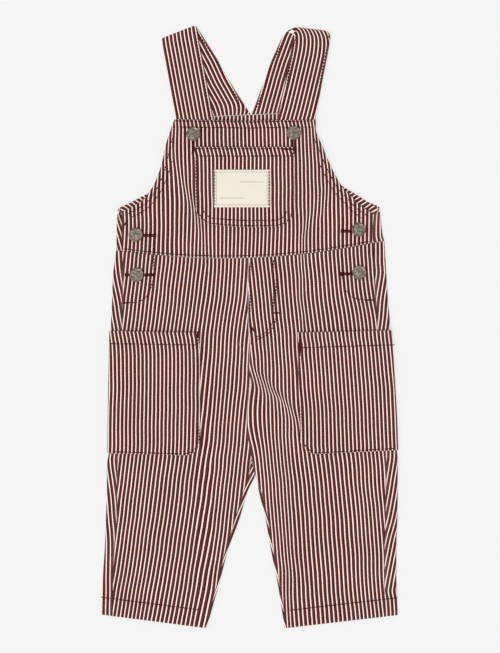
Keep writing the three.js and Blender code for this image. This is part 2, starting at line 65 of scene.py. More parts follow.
# Meshes: spacing of their lines, and numbers of lines
FINE = 1.7  # on what shows
COARSE = 5.0  # on what lies underneath
BACK_LEG_SPACING = 3.2
BACK_BIB_SPACING = 3.0
BIB_EDGE_SPACING = 6
LEG_LINE_SPACING = 8
BACK_LEG_COLUMNS = 30
BACK_BIB_COLUMNS = 44
FEWEST_LINES = 5
ARC_PLACES = 7
FOLD_STEPS = 10
STRIP_STEPS = 7
INNER_STRIP_STEPS = 3
EDGE_STEPS = (0.0, 0.35, 0.9, 1.7)  # lines of the mesh near a piece's edge
EDGE_FULLNESS = (0.2, 0.68, 0.93)  # how thick the cloth is on the first of them
FAR = 1e9  # beyond any place
TINY = 1e-9  # so that a place on a line still has a side

# Straps of double cloth
STRAP_WALL = 1.6
STRAP_FOLD_INSIDE = 0.2
STRAP_FOLD_OUTSIDE = STRAP_FOLD_INSIDE + STRAP_WALL
STRAPS = {
    "left": {
        "x": -71.8, "up": 596, "lean": 10.5, "back_lean": 32, "width": 36.7, "front": 117,
        "corner": 2.0, "bend": 27, "tilt": 0.0, "turn": -3.5, "gather": 0.17,
        "front_shift": [(0, 0), (120, 0)], "back_shift": [(0, 0), (40, 0), (60, -1.5), (105, -1)],
        "front_leans": [(0, -6), (8, 0), (120, 0)],
    },
    "right": {
        "x": 60.8, "up": 599, "lean": -9.3, "back_lean": -24.2, "width": 36.5, "front": 119.6,
        "corner": 6.0, "bend": -2, "tilt": 3.2, "turn": 4, "gather": 0.0,
        "front_shift": [(0, 3), (22, 2.6), (45, 1.8), (80, 1.2), (110, 0)],
        "back_shift": [(0, -4), (10, -5), (38, -4.8), (54, -3.8), (70, -2.4), (88, -1), (105, 0)],
        "front_leans": [(0, 40), (4, 32), (8, 17), (12, 9), (20, 2), (30, -1), (50, -3), (120, -5)],
    },
}
STRAP_ROUNDING_REACH = 5.0
STRAP_TILT_REACH = 14.0
STRAP_BEND_REACH = 17.0  # the back part's stripes turn upright over this length
STRAP_STITCH_INSET = 2.2
STRAP_FIRST_STITCH = 1  # from the end
STRAP_END_TRIES = 12  # at finding where it meets the back bib
LEAN_STEPS = 241  # in which a lean is added up

# Facings inside the back's armholes
FACING_WIDTH = 13.0
FACING_WALL = 0.3
FACING_GRAIN = 25.0  # degrees off square to the armhole
FACING_TOP_ROW = 2
FACING_LINES = 60
FACING_TURN = {"from": 0.6, "slope": 3.2}  # it moves in to clear the side fold over these rows

# Front bib: each row is a gentle curve through its left end, its middle and its right end
BIB_COLUMNS = ("left_x", "left_up", "middle", "right_x", "right_up")
BIB_ROWS = [
    (-75.4, 508.5, 507, 66, 508),
    (-78.5, 500, 498.5, 65.6, 499.5),
    (-84.7, 480.5, 480.3, 72.8, 480.5),
    (-86.4, 471.5, 471.3, 76.3, 471.5),
    (-91.5, 454, 453, 84.6, 454),
    (-96.7, 442, 436, 93, 440),
    (-101, 435.5, 426, 100, 433),
    (-106, 428.5, 417, 107, 425),
    (-112, 424.5, 409, 113, 420),
    (-119.5, 420, 400.5, 119.5, 416),
    (-127.5, 415.5, 392, 121.7, 411),
    (-127.5, 403, 385, 122.2, 402),
    (-127.5, 390, 377.5, 122.4, 393.5),
    (-127.5, 377.3, 370.3, 122.6, 385.3),
]
BIB_POCKET_COLUMNS = ("middle", "left", "right")
BIB_POCKET_ROWS = [
    (480.3, -55.5, 44.5),
    (453, -55.5, 44.5),
    (436, -55.2, 44.2),
    (417, -54.5, 43.6),
    (410, -52.6, 41.8),
    (405, -49, 38),
    (402, -45, 33),
    (400.5, -40, 27),
]
LABEL = {"x": -8.2, "up": 439.2, "width": 55.5, "height": 37.5, "wall": 0.7}
LABEL_TROUGH = {"inset": 2.0, "width": 0.8, "depth": 0.15}
LABEL_RIPPLE = {"height": 0.1, "across": 6.1, "up": 8.3}

# Back bib, whose rows have the same columns
BACK_BIB_ROWS = [
    (-44.5, 511, 513, 43, 514.6),
    (-51, 493, 493, 49, 495),
    (-62, 470, 468, 61, 472),
    (-78, 450, 445, 78, 453),
    (-93, 439, 428, 93, 441.5),
    (-107, 432, 416, 107, 433),
    (-120, 425, 404, 118, 426),
    (-132.7, 417.5, 392, 130, 419.5),
    (-133.2, 403, 385, 131.3, 404),
    (-133.4, 390, 377.5, 132.6, 393),
    (-133.8, 377.9, 370.3, 134.3, 387),
]
BACK_BIB_SIDES_FROM = 7  # the first row that goes round the sides
BACK_BIB_SEAMS = [(-127.7, 121.5), (-127.7, 122), (-127.7, 122.3), (-127.7, 122.6)]

# Legs, from the waist seam to the hems
LEG_COLUMNS = ("side_x", "side_up", "seam", "inner_x", "inner_up")
LEG_ROWS = {
    "left": [
        (-133.8, 378, -127.7, -1.6, 370),
        (-137, 351, -127, -2, 345),
        (-138, 324, -127, -2, 319),
        (-138.7, 310, -127.3, -1.7, 306),
        (-139, 297.3, -128, -1.3, 294.5),
        (-139.4, 284.5, -129, -1, 282),
        (-140, 248, -130, -0.6, 246),
        (-140.6, 208, -131, 0, 206),
        (-141, 175, -131.5, 1.2, 171),
        (-142.3, 168.5, -132, 0.4, 164.3),
        (-143, 158, -132.6, -1.2, 152.8),
        (-143, 138, -132.8, -6.6, 136.8),
        (-144, 112, -132.8, -14.6, 109.8),
        (-145, 83, -135.3, -24.6, 77.8),
        (-147, 53, -137, -32.8, 44.9),
        (-148, 33, -137.1, -40.6, 16.9),
        (-148.8, 13.7, -137.3, -45.3, 0.4),
    ],
    "right": [
        (134.3, 387, 122.6, -1.3, 370),
        (136, 358, 124, -1.7, 345),
        (138, 326.5, 125.5, -1.7, 319),
        (139.3, 312, 126.3, -1.4, 306),
        (140.3, 297.7, 127, -1, 294.5),
        (141.2, 283.3, 128.2, -0.7, 282),
        (143.3, 248, 130.8, -0.3, 246),
        (145.6, 208, 133.5, 0.3, 206),
        (146.6, 178.2, 135, 1.5, 171),
        (147.5, 171, 135.6, 2.8, 164.3),
        (147.6, 158, 136, 5.5, 152.5),
        (147.6, 149, 136, 8, 144.5),
        (147.6, 140, 135.9, 11.6, 136.8),
        (147.4, 112, 135.3, 18, 109.8),
        (146.3, 83, 134.3, 23.6, 77.8),
        (146.2, 53, 134.3, 29.8, 44.9),
        (147, 31.6, 134.3, 34.2, 17.2),
        (147.6, 13.2, 134.5, 36.6, 0.3),
    ],
}
LEG_FOLDS = {  # the inside leg fold's up and x, from where it starts
    "left": [
        (172, 1.3), (164.3, 2.7), (152.8, 4.9), (146, 2), (136.8, -2.4), (109.8, -10.4),
        (77.8, -22), (44.9, -30.7), (16.9, -38.6), (0.4, -43.3),
    ],
    "right": [
        (146, 7), (136.8, 8.8), (109.8, 15.4), (77.8, 21), (44.9, 27.6), (17.2, 32), (0.3, 34.5),
    ],
}
POCKET_MOUTH_ROW = 4
POCKET_FOOT_ROW = 8
SIDE_POCKET_SHARE = {"left": 0.645, "right": 0.66}
SIDE_POCKET_CORNER = 17.0
SIDE_POCKET_BEHIND = 0.5  # of its width on the front
STAND_WIDTH = 30
STAND_ROWS = {
    "left": [(-127.7, 413), (-127.7, 377), (-127, 345), (-127, 325)],
    "right": [(121.8, 409), (122.8, 385), (124.2, 350), (125.6, 327)],
}

# Where a layer is raised by what lies under it: lowest x and up, highest x and up, rise
EASE = 25
STRAP_RISE = 2 * STRAP_FOLD_OUTSIDE + SEAM_GAP - FRONT_UNDERSIDE
RISES_ON_FLOOR = [
    (-200, 164, -73, 304, LAYER_RISE),
    (71, 164, 200, 304, LAYER_RISE),
]
RISES_ON_FRONT = [
    (-110, 478, -27, 520, STRAP_RISE),
    (21, 478, 110, 520, STRAP_RISE),
    (-160, 318, -91, 416, LAYER_RISE),
    (88, 318, 160, 416, LAYER_RISE),
]

# Creases of the front: a line of places, height (below 0 is a trough), width, and how much
# further apart the fold sets the stripes on its two sides
CREASES = [
    ([(-76, 474), (-70, 453), (-61, 431), (-54, 413), (-49, 396), (-45, 373)], 1.4, 3.1, 1.5),
    ([(-64, 462), (-57, 436), (-51, 416), (-44, 396), (-40, 378)], -0.91, 2.5, 0.3),
    ([(79, 446), (76, 430), (71, 414), (62, 404)], 1.3, 3.1, 0.9),
    ([(66, 424), (57, 407), (53, 392), (52, 376), (51, 358), (54, 343)], 1.4, 2.9, 1.3),
    ([(56, 362), (50, 340), (49, 330), (53, 314), (52, 300), (50, 280)], 1.2, 3.1, 1),
    ([(-2, 268), (4, 258), (12, 248), (20, 237), (30, 231), (39, 220), (45, 209), (49, 192)],
     2.7, 3.2, 2.2),
    ([(-1, 258), (2, 252), (5, 243), (5, 238)], 1.3, 1.3, 0.9),
    ([(4, 261), (8, 251), (11, 241), (14, 230)], 0.9, 1.4, 0.6),
    ([(15, 256), (18, 247), (22, 240), (28, 233)], 0.8, 1.4, 0.7),
    ([(-2, 256), (12, 238), (28, 218), (46, 208)], -0.91, 2.9, 0.4),
    ([(32, 92), (44, 70), (52, 50), (66, 36)], 1, 4.2, 0.5),
    ([(30, 74), (42, 54), (48, 38)], 0.78, 3.4, 0.4),
    ([(-98, 352), (-84, 336), (-62, 322)], 0.78, 6, 0.5),
    ([(-52, 150), (-36, 164), (-18, 170)], 0.91, 5.1, 0.5),
    ([(-60, 356), (-52, 330), (-50, 306)], 0.65, 5.1, 0.3),
    ([(88, 338), (100, 330), (118, 322)], 0.91, 4.2, 0.4),
    ([(100, 140), (120, 128), (140, 122)], 0.65, 5.1, 0.3),
]
CREASE_REACH = 20.0
CREASE_REACH_IN_WIDTHS = 6.5
CREASE_STEEP_SIDE = 0.6  # of its width
CREASE_TAPER = 0.7
CREASE_ENDS = (0.03, 0.97)  # it keeps some height at both ends
CREASE_UNEVENNESS = 0.15
CREASE_UNEVEN_LENGTH = 5.3
DEEPEST_TROUGH = -0.35
SEAM_SWING = [  # up, and how far the centre seam swings aside from its straight line
    (320, 0), (262, 0), (250, 0.5), (242, 0.3), (230, -1.2), (216, -2.6), (203, -3.2),
    (190, -2.4), (179, -1), (166, 0), (0, 0),
]
SEAM_SWING_REACH = 13.0
SEAM_STEADY = 12  # the left leg's creases leave the stripes straight this near the centre seam
ARMHOLE_DRIFT = 2.6
ARMHOLE_REACH = 6.0
BELOW_ARMHOLE = 12  # places of the bib's edge that lie under the armhole
UNDULATIONS = [  # wave length, direction in degrees, phase, height
    (61, 20, 0.4, 0.16),
    (43, 78, 1.9, 0.12),
    (27, 133, 0.8, 0.07),
    (17, 50, 2.6, 0.035),
]
STRIP_UNDULATION = 0.4  # of the height elsewhere
WAVERING = [  # wave length, direction in degrees, phase, how far the stripes move sideways
    (71, 62, 1.3, 0.13),
    (47, 104, 2.2, 0.1),
    (29, 81, 0.6, 0.06),
]

# Lean of the stripes from the vertical, in degrees, positive where a stripe goes down to the
# right. Each table gives the x of its columns, then up and the lean in each column.
GRAINS = {
    "front_bib": ((-102, -70, -22, 26, 74, 106), [
        (509, 10, 12, 16, 14, 10, 8),
        (501, 8, 12, 16, 14, 10, 8),
        (499, 0, 1, 0, 1, 2, 2),
        (488, 0, 1, 1, 1, 2, 2),
        (474, -4, 2, 3, 2, 2, 8),
        (460, 3, 4, 1, 1, 0, 2),
        (432, 4, 3, 0, 1, 0, -1),
        (418, 2, 1, 0, 1, 0, -1),
        (404, 0, 1, -1, -2, -1, 0),
        (390, -3, 0, -2, -3.5, 0, 0),
        (376, -4, 0, -1, 0, 3, 1),
    ]),
    "front_leg_left": ((-102, -54, -38), [
        (366, -5, -4, -2),
        (348, -6, -6, -5),
        (334, -7, -7, -6),
        (320, -7, -8, -8),
        (306, -7, -7, -8),
        (292, -7, -6, -5),
        (276, -7, -5, -3.5),
        (260, -7, -5, -4),
        (194, -7, -6, -5),
        (180, -7, -6, -6),
        (166, -7, -7, -6),
        (124, -6.5, -6.5, -6),
        (110, -7, -7, -6.5),
        (82, -8, -7.5, -8),
        (54, -9, -8, -8),
        (26, -9.5, -9, -8.5),
        (12, -9, -8, -8.5),
    ]),
    "front_leg_right": ((10, 42, 74, 106), [
        (362, 6.5, 5, 4, 4),
        (348, 5, 4, 5, 6),
        (334, 5, 4, 6, 9),
        (320, 6, 6, 6, 10),
        (306, 7, 6, 6, 8),
        (292, 7, 5, 6, 8),
        (264, 7, 5, 6, 6),
        (208, 5, 5, 6, 6),
        (180, 6, 5, 6, 6),
        (166, 5, 6, 7, 6),
        (152, 5, 6, 5.5, 4.5),
        (138, 5, 5, 4, 4),
        (110, 6, 4, 4, 5),
        (82, 4, 4, 4, 4),
        (68, 5, 4, 4, 2),
        (54, 4, 2, 4, 2),
        (40, 6, 2, 3, 4),
        (26, 5, 4, 4, 6),
        (12, 2, 3, 5, 7),
    ]),
    "bib_pocket": ((0,), [(481, 14), (472, 14), (470, 1), (440, 0.5), (400, 1)]),
    "side_pocket_left": ((-100,), [
        (298, 10), (285, 9), (283, 3), (274, 2), (264, 1), (236, -1), (194, -1), (170, -2),
    ]),
    "side_pocket_right": ((100,), [
        (298, 7), (283, 7), (280, 5), (272, 5.5), (250, 4.5), (222, 3.5), (208, 2), (194, 1),
        (170, 3),
    ]),
    "back_leg_left": ((0,), [(380, 11), (330, 13), (260, 10), (130, 8), (80, 4), (0, 0)]),
    "back_leg_right": ((0,), [
        (390, 3.5), (368, 4), (365, -2.5), (358, -2.5), (354, 11.5), (298, 11), (178, 8.5),
        (148, 9), (88, 12), (40, 11), (35, -9), (31, -9), (28, -2), (0, -2),
    ]),
    "inside_leg_left": ((0,), [(172, -29), (148, -27), (110, -22), (0, -20)]),
    "inside_leg_right": ((0,), [(150, 19), (100, 18), (0, 17)]),
    "back_bib": ((-130, -104, 104, 130), [
        (515, 0, 0, 0, 0), (424, 0, 0, 0, 0), (419, -18, 0, 0, 3), (400, -18, 0, 0, 5),
        (391, -18, 0, 0, 13), (370, -18, 0, 0, 13),
    ]),
}
GRAIN_MARGIN = 12  # each table holds this far past its first and last height
JUST_INSIDE = 0.001  # keeps a place within its last column or row

# Turned hems, one layer of cloth thicker, and pocket mouths, which stand open a little
HEM_EXTRA = 0.6
HEM_SLOPE = 0.45
STEEPEST = 30  # slopes from the hem's edge, beyond which nothing changes
HEM_DEPTHS = {
    "front_bib": 8.2,
    "bib_pocket": 9.4,
    "side_pocket_left": 13.6,
    "side_pocket_right": 14.8,
    "front_leg_left": 18.2,
    "front_leg_right": 18.2,
}
MOUTH_GAP = 1.1
MOUTH_REACH = 6.0
POCKET_BLEND = 6  # a side pocket lies flat this near its fold

# Sewing
STITCH_LENGTH = 2.7
STITCH_PITCH = STITCH_LENGTH + 0.5
THREAD = 0.9
THREAD_HEIGHT = 0.5 * THREAD
STRAP_THREAD_HEIGHT = 0.35 * THREAD
THREAD_LIFT = 0.25  # above the bottom of the trough that it lies in
THREAD_SINK = 0.08
STITCH_PROFILE = ((0.0, 0.25), (0.18, 0.9), (0.5, 1.0), (0.82, 0.9), (1.0, 0.25))
STITCH_ANGLES = (0, 60, 120, 180)
TROUGH_DEPTH = 0.32
TROUGH_WIDTH = 1.1
PUCKER_LENGTH = 7.5
PUCKER_HEIGHT = 0.16
PUCKER_REACH = 5.0
PUCKER_SLANT = 0.6
LONG_PUCKER = {"height": 0.5, "lengths": 2.7, "phase": 1.1}
LEG_HEM_STITCHES = 17.5  # up from the foot
BIB_HEM_STITCHES = [
    [(-77, 500.6), (-40, 500), (0, 499.6), (40, 500), (65, 500.4)],
    [(-75, 506.6), (-40, 506.1), (0, 505.6), (40, 506.1), (65, 506.6)],
]
ARMHOLE_STITCHES = [  # side, how far in, lowest and highest
    ("left", 4.6, 417, 500), ("left", 9.4, 417, 470),
    ("right", 4.6, 412, 500), ("right", 9.4, 412, 470),
]
WAIST_STITCHES = {"above": 2.0, "left": -126, "right": 121, "places": 30}
MOUTH_STITCHES = {
    "bib_pocket": [
        [(-54, 471.4), (0, 471.4), (43, 471.4)],
        [(-54, 478.6), (0, 478.6), (43, 478.6)],
    ],
    "side_pocket_left": [[(-139, 284.4), (-51, 283)]],
    "side_pocket_right": [[(49, 280.3), (145, 283.2)]],
}
POCKET_STITCHES_IN = 1.8
BIB_POCKET_STITCHES_IN = (1.5, 6.8)
BIB_POCKET_FOOT = slice(40, -40)  # the inner row goes round the foot only
LABEL_STITCHES = {"inset": 0.7, "reach": 17.6}
PLACKETS = {
    "left": [(-96, 412), (-96, 353), (-99, 339), (-104.5, 329.5), (-112, 325.5), (-125, 325.2)],
    "right": [(91.5, 410), (91.5, 352), (95, 338), (101, 331), (110, 328.3), (123.5, 327.8)],
}
FLY = {"top": 368, "centre": (2, 312), "radii": (24, 21.4), "end": -86}
SEAM_STITCHES_IN = 1.8
SEAM_STITCHES = slice(2, 15)  # places down the centre seam

# Buttonholes and bartacks: piece, x, up, direction in degrees, length and width
BUTTONHOLES = [
    ("front_bib", -56.6, 481.5, 90, 13, 3.2),
    ("front_bib", 43.6, 482.5, 90, 13, 3.2),
    ("front_bib", -101, 392.4, 0, 13, 3.2),
    ("front_bib", 97.5, 396.6, 0, 11, 3.2),
    ("front_leg_left", -109.5, 353, 0, 28, 3.2),
    ("front_leg_right", 100, 354, 0, 18, 3.2),
]
BARTACKS = [
    ("front_leg_right", 26, 315, 0, 6, 1.6),
    ("front_leg_right", 2.5, 299.5, 120, 7, 1.6),
    ("side_pocket_left", -52.5, 293.5, 90, 6, 1.8),
    ("side_pocket_right", 49.5, 283, 90, 20, 1.8),
    ("bib_pocket", -53.6, 476, 90, 7, 1.8),
    ("bib_pocket", 38.5, 478.2, 0, 11, 1.8),
    ("front_bib", -124, 405, 60, 6, 1.6),
    ("front_leg_left", -124.5, 325, 0, 6, 1.6),
    ("front_leg_right", 119.5, 328, 0, 8, 1.6),
]
SATIN_STEP = 0.62
SATIN_WIDTH = 1.15 * SATIN_STEP
SATIN_HEIGHT = 0.45
SATIN_LIFT = 0.1
BUTTONHOLE_END = {"length": 2.2, "width": 1.3}  # in mm, and as a share of the buttonhole's

# Tack buttons: radius and height of a cap, from the middle of its top round to its underside
BUTTON_PROFILE = [
    (0.0, 2.2), (1.5, 2.18), (3.0, 2.1), (4.4, 2.0), (5.3, 1.96), (5.7, 2.05), (6.0, 2.35),
    (6.35, 2.5), (6.7, 2.35), (6.95, 1.9), (7.0, 1.4), (6.8, 0.75), (6.3, 0.3), (5.6, 0.05),
    (0.0, 0.0),
]
BUTTON_SIDES = 64
BUTTON_TURN = 0.7  # each is turned this much further than the last, in radians
BUTTONS = (
    "bib_button_left", "bib_button_right", "side_button_left_upper", "side_button_left_lower",
    "side_button_right_upper", "side_button_right_lower",
)

# Stripes and finishes
STRIPE_PITCH = 3.93
STRIPE_STOPS = [
    (0.0, "#4c1013"),
    (0.08, "#56221f"),
    (0.22, "#5f332c"),
    (0.38, "#50221d"),
    (0.52, "#461116"),
    (0.66, "#421013"),
    (0.69, "#dcb0a9"),
    (0.73, "#ffebe5"),
    (0.93, "#ffebe5"),
    (0.96, "#dcaea7"),
    (0.985, "#4a1013"),
]
WORN_COLOUR = "#a98782"
TWILL_RIB = 0.8
RIB_SLOPE = 0.62
RIB_RELIEF = 0.35  # beside the fuzz
TWILL_NOISES = (  # of the slubs, the fading and the fuzz, with scales per millimetre
    {"Scale": 0.35, "Detail": 3.0, "Roughness": 0.6},
    {"Scale": 0.03, "Detail": 4.0, "Roughness": 0.55},
    {"Scale": 1.6, "Detail": 5.0, "Roughness": 0.7},
)
SLUB_WANDER = 0.22  # how far the slubs move a stripe's edge
EDGE_WEAR = 0.3
LABEL_THREAD = 0.7
LABEL_COLOURS = [(0.0, "#dfd7c8"), (1.0, "#ece5d7")]
RULE_COLOUR = "#8f867a"
LABEL_RULES = [  # printed border and rules: middle and half width, middle and half height
    (-25.4, 0.2, 0, 16.4),
    (25.4, 0.2, 0, 16.4),
    (0, 25.4, -16.4, 0.2),
    (0, 25.4, 16.4, 0.2),
    (10, 12, 6.5, 0.25),
    (-10, 12, -9.5, 0.25),
]
THREAD_COLOURS = [(0.0, "#37060c"), (1.0, "#5e1420")]
THREAD_TWIST = 0.698  # from one ply to the next
TEXTURE_BANDS = 10  # that a diagonal wave texture has over a length of 2 pi
BRASS_COLOURS = [(0.32, "#35302a"), (0.48, "#766d60"), (0.68, "#b0a491")]
PATINA_PATCH = 2.38
FINE_RELIEF = 0.0002  # in metres

# Floor, light and camera
PICTURE_HEIGHT = 653
PICTURE_CENTRE = (0.0, 301.5)  # in the pattern, at 1 mm to a pixel
LENS = 120.0
SENSOR = 36.0
FLOOR_SIZE = 6.0
FLOOR_DROP = 0.0004
SUN_STRENGTH = 1.62
SUN_ANGLE = 32
SUN_TURN = (34, 0, -50)  # tilted up from below the picture, and turned to its left
ROOM_STRENGTH = 0.73
FLOOR_COLOUR = "#6f6f6f"
FLOOR_GLOW = 0.73
WHITE = "#ffffff"


# Tables and curves


def table(columns, rows):
    """A table's columns as arrays, by name."""
    return dict(zip(columns, np.array(rows, float).T))


def smooth(t, ts, values):
    """A curve through the values that never overshoots them, at t."""
    ts, values = np.asarray(ts, float), np.asarray(values, float)
    step = np.diff(ts)
    rise = np.diff(values) / step
    slope = np.zeros(len(ts))
    slope[0], slope[-1] = rise[0], rise[-1]
    turns = rise[:-1] * rise[1:] <= 0
    total = np.where(turns, 1.0, rise[:-1] + rise[1:])
    slope[1:-1] = np.where(turns, 0.0, 2 * rise[:-1] * rise[1:] / total)
    n = np.clip(np.searchsorted(ts, t, side="right") - 1, 0, len(step) - 1)
    s = (t - ts[n]) / step[n]
    start = values[n] * (1 + 2 * s) + slope[n] * step[n] * s
    end = values[n + 1] * (3 - 2 * s) + slope[n + 1] * step[n] * (s - 1)
    return (1 - s) ** 2 * start + s**2 * end


def spaced(length, spacing, first=True, last=True):
    """Distances from 0 to length, closer together at the ends that are a piece's edges."""
    start = list(EDGE_STEPS) if first else [0.0]
    end = [length - d for d in reversed(EDGE_STEPS)] if last else [length]
    if end[0] - start[-1] < spacing:
        return np.linspace(0, length, FEWEST_LINES)
    count = max(1, round((end[0] - start[-1]) / spacing))
    between = np.linspace(start[-1], end[0], count + 1)[1:-1]
    return np.array(start + list(between) + end)


def dense_rows(rows, spacing, key):
    """The rows of a table, filled in smoothly with rows about this far apart."""
    down = rows[key][0] - rows[key]
    t = spaced(down[-1], spacing)
    return {name: smooth(t, down, values) for name, values in rows.items()}


def travelled(line):
    """How far along a line of places each of them is."""
    return np.concatenate([[0], np.cumsum(np.linalg.norm(np.diff(line, axis=0), axis=1))])


def heading(degrees):
    """A step of 1 mm, turned this far from x towards up."""
    return np.array([math.cos(math.radians(degrees)), math.sin(math.radians(degrees))])


def level(x, up):
    return np.zeros(np.broadcast(x, up).shape)


def stacked(*parts):
    return np.stack(parts, axis=-1)


BIB = table(BIB_COLUMNS, BIB_ROWS)
BACK_BIB = table(BIB_COLUMNS, BACK_BIB_ROWS)
LEGS = {side: table(LEG_COLUMNS, rows) for side, rows in LEG_ROWS.items()}


def across_bib(rows, n, x):
    """How far up bib row n is at x."""
    left, right = rows["left_x"][n], rows["right_x"][n]
    share = (x - left) / (right - left)
    ends = rows["left_up"][n] * (1 - share) * (1 - 2 * share)
    ends = ends + rows["right_up"][n] * share * (2 * share - 1)
    return ends + rows["middle"][n] * 4 * share * (1 - share)


def waist_up(x):
    return across_bib(BIB, -1, x)


def bib_grid(rows, left, right, shares):
    """x and up over a bib, with the same shares of the way from left to right in every row."""
    x = left[:, None] + shares * (right - left)[:, None]
    return x, across_bib(rows, np.arange(len(x))[:, None], x)


def bib_edge(side):
    """The bib's edge as a line of places, from its top down."""
    rows = dense_rows(BIB, BIB_EDGE_SPACING, "middle")
    return stacked(rows[f"{side}_x"], rows[f"{side}_up"])


def leg_up(rows, n, x):
    """How far up leg row n is at x."""
    share = (x - rows["side_x"][n]) / (rows["inner_x"][n] - rows["side_x"][n])
    return rows["side_up"][n] + share * (rows["inner_up"][n] - rows["side_up"][n])


def leg_line(rows, share):
    """Places down a leg, a share of the way from its side fold to its inner edge."""
    x = rows["side_x"] + share * (rows["inner_x"] - rows["side_x"])
    return stacked(x, rows["side_up"] + share * (rows["inner_up"] - rows["side_up"]))


# Heights above the table


def inside_span(value, low, high):
    outside = np.clip(np.maximum(low - value, value - high) / EASE, 0, 1)
    return 1 - outside * outside * (3 - 2 * outside)


def raised(zones, x, up):
    height = level(x, up)
    for x_low, up_low, x_high, up_high, rise in zones:
        height += rise * inside_span(x, x_low, x_high) * inside_span(up, up_low, up_high)
    return height


def distance_to_line(points, x, up):
    """The distance to the nearest place on a line, its side, how far along, and the length."""
    nearest = level(x, up) + FAR
    along = level(x, up)
    side = np.ones_like(nearest)
    done = 0.0
    for (ax, ay), (bx, by) in zip(points[:-1], points[1:]):
        dx, dy = bx - ax, by - ay
        length = math.hypot(dx, dy)
        share = np.clip(((x - ax) * dx + (up - ay) * dy) / length**2, 0, 1)
        away = np.hypot(x - ax - share * dx, up - ay - share * dy)
        closer = away < nearest
        nearest = np.where(closer, away, nearest)
        along = np.where(closer, done + share * length, along)
        side = np.where(closer, np.sign((up - ay) * dx - (x - ax) * dy + TINY), side)
        done += length
    return nearest, side, along, done


def creased(x, up):
    """Height of the front's creases, and how far they push the stripes aside."""
    height, drift = level(x, up), level(x, up)
    for points, tall, width, apart in CREASES:
        away, side, along, length = distance_to_line(points, x, up)
        ends = np.sin(np.pi * np.clip(along / length, *CREASE_ENDS)) ** CREASE_TAPER
        ripple = CREASE_UNEVENNESS * np.sin(along / CREASE_UNEVEN_LENGTH + length)
        steep = np.where(side > 0, width, CREASE_STEEP_SIDE * width)
        height += tall * ends * (1 - CREASE_UNEVENNESS + ripple) * np.exp(-((away / steep) ** 2))
        reach = min(CREASE_REACH, CREASE_REACH_IN_WIDTHS * width)
        drift += apart * ends * side * np.tanh(away / width) * np.exp(-((away / reach) ** 2))
    return height, drift


def armhole_drift(x, up):
    """How far the sewn armhole edges pull the stripes beside them inwards."""
    drift = level(x, up)
    for side, outward in OUTWARD.items():
        away = distance_to_line(bib_edge(side)[:-BELOW_ARMHOLE], x, up)[0]
        drift += outward * ARMHOLE_DRIFT * np.exp(-away / ARMHOLE_REACH)
    return drift


def waves(crests, x, up):
    total = level(x, up)
    for length, direction, phase, size in crests:
        run = heading(direction)
        total += size * np.sin(2 * np.pi * (x * run[0] + up * run[1]) / length + phase)
    return total


def floor_height(x, up):
    return raised(RISES_ON_FLOOR, x, up)


def front_height(x, up):
    relief = np.maximum(creased(x, up)[0] + waves(UNDULATIONS, x, up), DEEPEST_TROUGH)
    return FRONT_UNDERSIDE + floor_height(x, up) + raised(RISES_ON_FRONT, x, up) + relief


def hem_edge_distance(piece, x, up):
    """How far a place is from the turned edge of its piece's hem."""
    if piece == "front_bib":
        return across_bib(BIB, 0, x) - up
    if piece == "bib_pocket":
        return BIB_POCKET_ROWS[0][0] - up
    row = POCKET_MOUTH_ROW if piece.startswith("side_pocket") else -1
    return np.abs(leg_up(LEGS[piece.split("_")[-1]], row, x) - up)


def gaping(piece, x, up):
    """How far a pocket's mouth stands open above what lies under it."""
    if "pocket" not in piece:
        return level(x, up)
    return MOUTH_GAP * np.exp(-((hem_edge_distance(piece, x, up) / MOUTH_REACH) ** 2))


def hem_relief(piece, x, up):
    if piece not in HEM_DEPTHS:
        return level(x, up)
    past = (hem_edge_distance(piece, x, up) - HEM_DEPTHS[piece]) / HEM_SLOPE
    return HEM_EXTRA / (1 + np.exp(np.clip(past, -STEEPEST, STEEPEST)))


# Stitch lines, on the piece that each is sewn through


def offset_edge(edge, inward):
    """A line of places moved sideways, to the left of the way it runs."""
    edge = np.array(edge, float)
    run = np.gradient(edge, axis=0)
    run /= np.linalg.norm(run, axis=1, keepdims=True)
    return edge + inward * stacked(-run[:, 1], run[:, 0])


def armhole_line(side, inward, low, high):
    edge = bib_edge(side)
    return offset_edge(edge[(edge[:, 1] > low) & (edge[:, 1] < high)], -OUTWARD[side] * inward)


def arc(centre, radius, start, end):
    return [tuple(centre + radius * heading(a)) for a in np.linspace(start, end, ARC_PLACES)]


def side_pocket_outline(side, inset):
    """The side pocket's free edge on the front, from its mouth round its corner to the side."""
    outward = OUTWARD[side]
    places = leg_line(LEGS[side], SIDE_POCKET_SHARE[side])[POCKET_MOUTH_ROW:POCKET_FOOT_ROW + 1]
    line = [(x + outward * inset, up) for x, up in places]
    foot = line.pop()
    reach = SIDE_POCKET_CORNER - inset
    centre = (foot[0] + outward * reach, foot[1] + SIDE_POCKET_CORNER)
    start, end = (0, -90) if side == "left" else (180, 270)
    side_x, side_up = (LEGS[side][key][POCKET_FOOT_ROW] for key in ("side_x", "side_up"))
    return line + arc(centre, reach, start, end) + [(side_x, side_up + inset)]


def bib_pocket_places():
    """The bib pocket's grid of places, whose rows run along the bib's own."""
    pocket = dense_rows(table(BIB_POCKET_COLUMNS, BIB_POCKET_ROWS), FINE, "middle")
    bib_down = BIB["middle"][0] - BIB["middle"]
    down = BIB["middle"][0] - pocket["middle"]
    rows = {name: smooth(down, bib_down, values) for name, values in BIB.items()}
    width = BIB_POCKET_ROWS[0][2] - BIB_POCKET_ROWS[0][1]
    return bib_grid(rows, pocket["left"], pocket["right"], spaced(width, FINE) / width)


def bib_pocket_outline(inset):
    """The bib pocket's edge down its left side, along its foot and up its right side."""
    places = stacked(*bib_pocket_places())
    return offset_edge(np.concatenate([places[:-1, 0], places[-1], places[-2::-1, -1]]), inset)


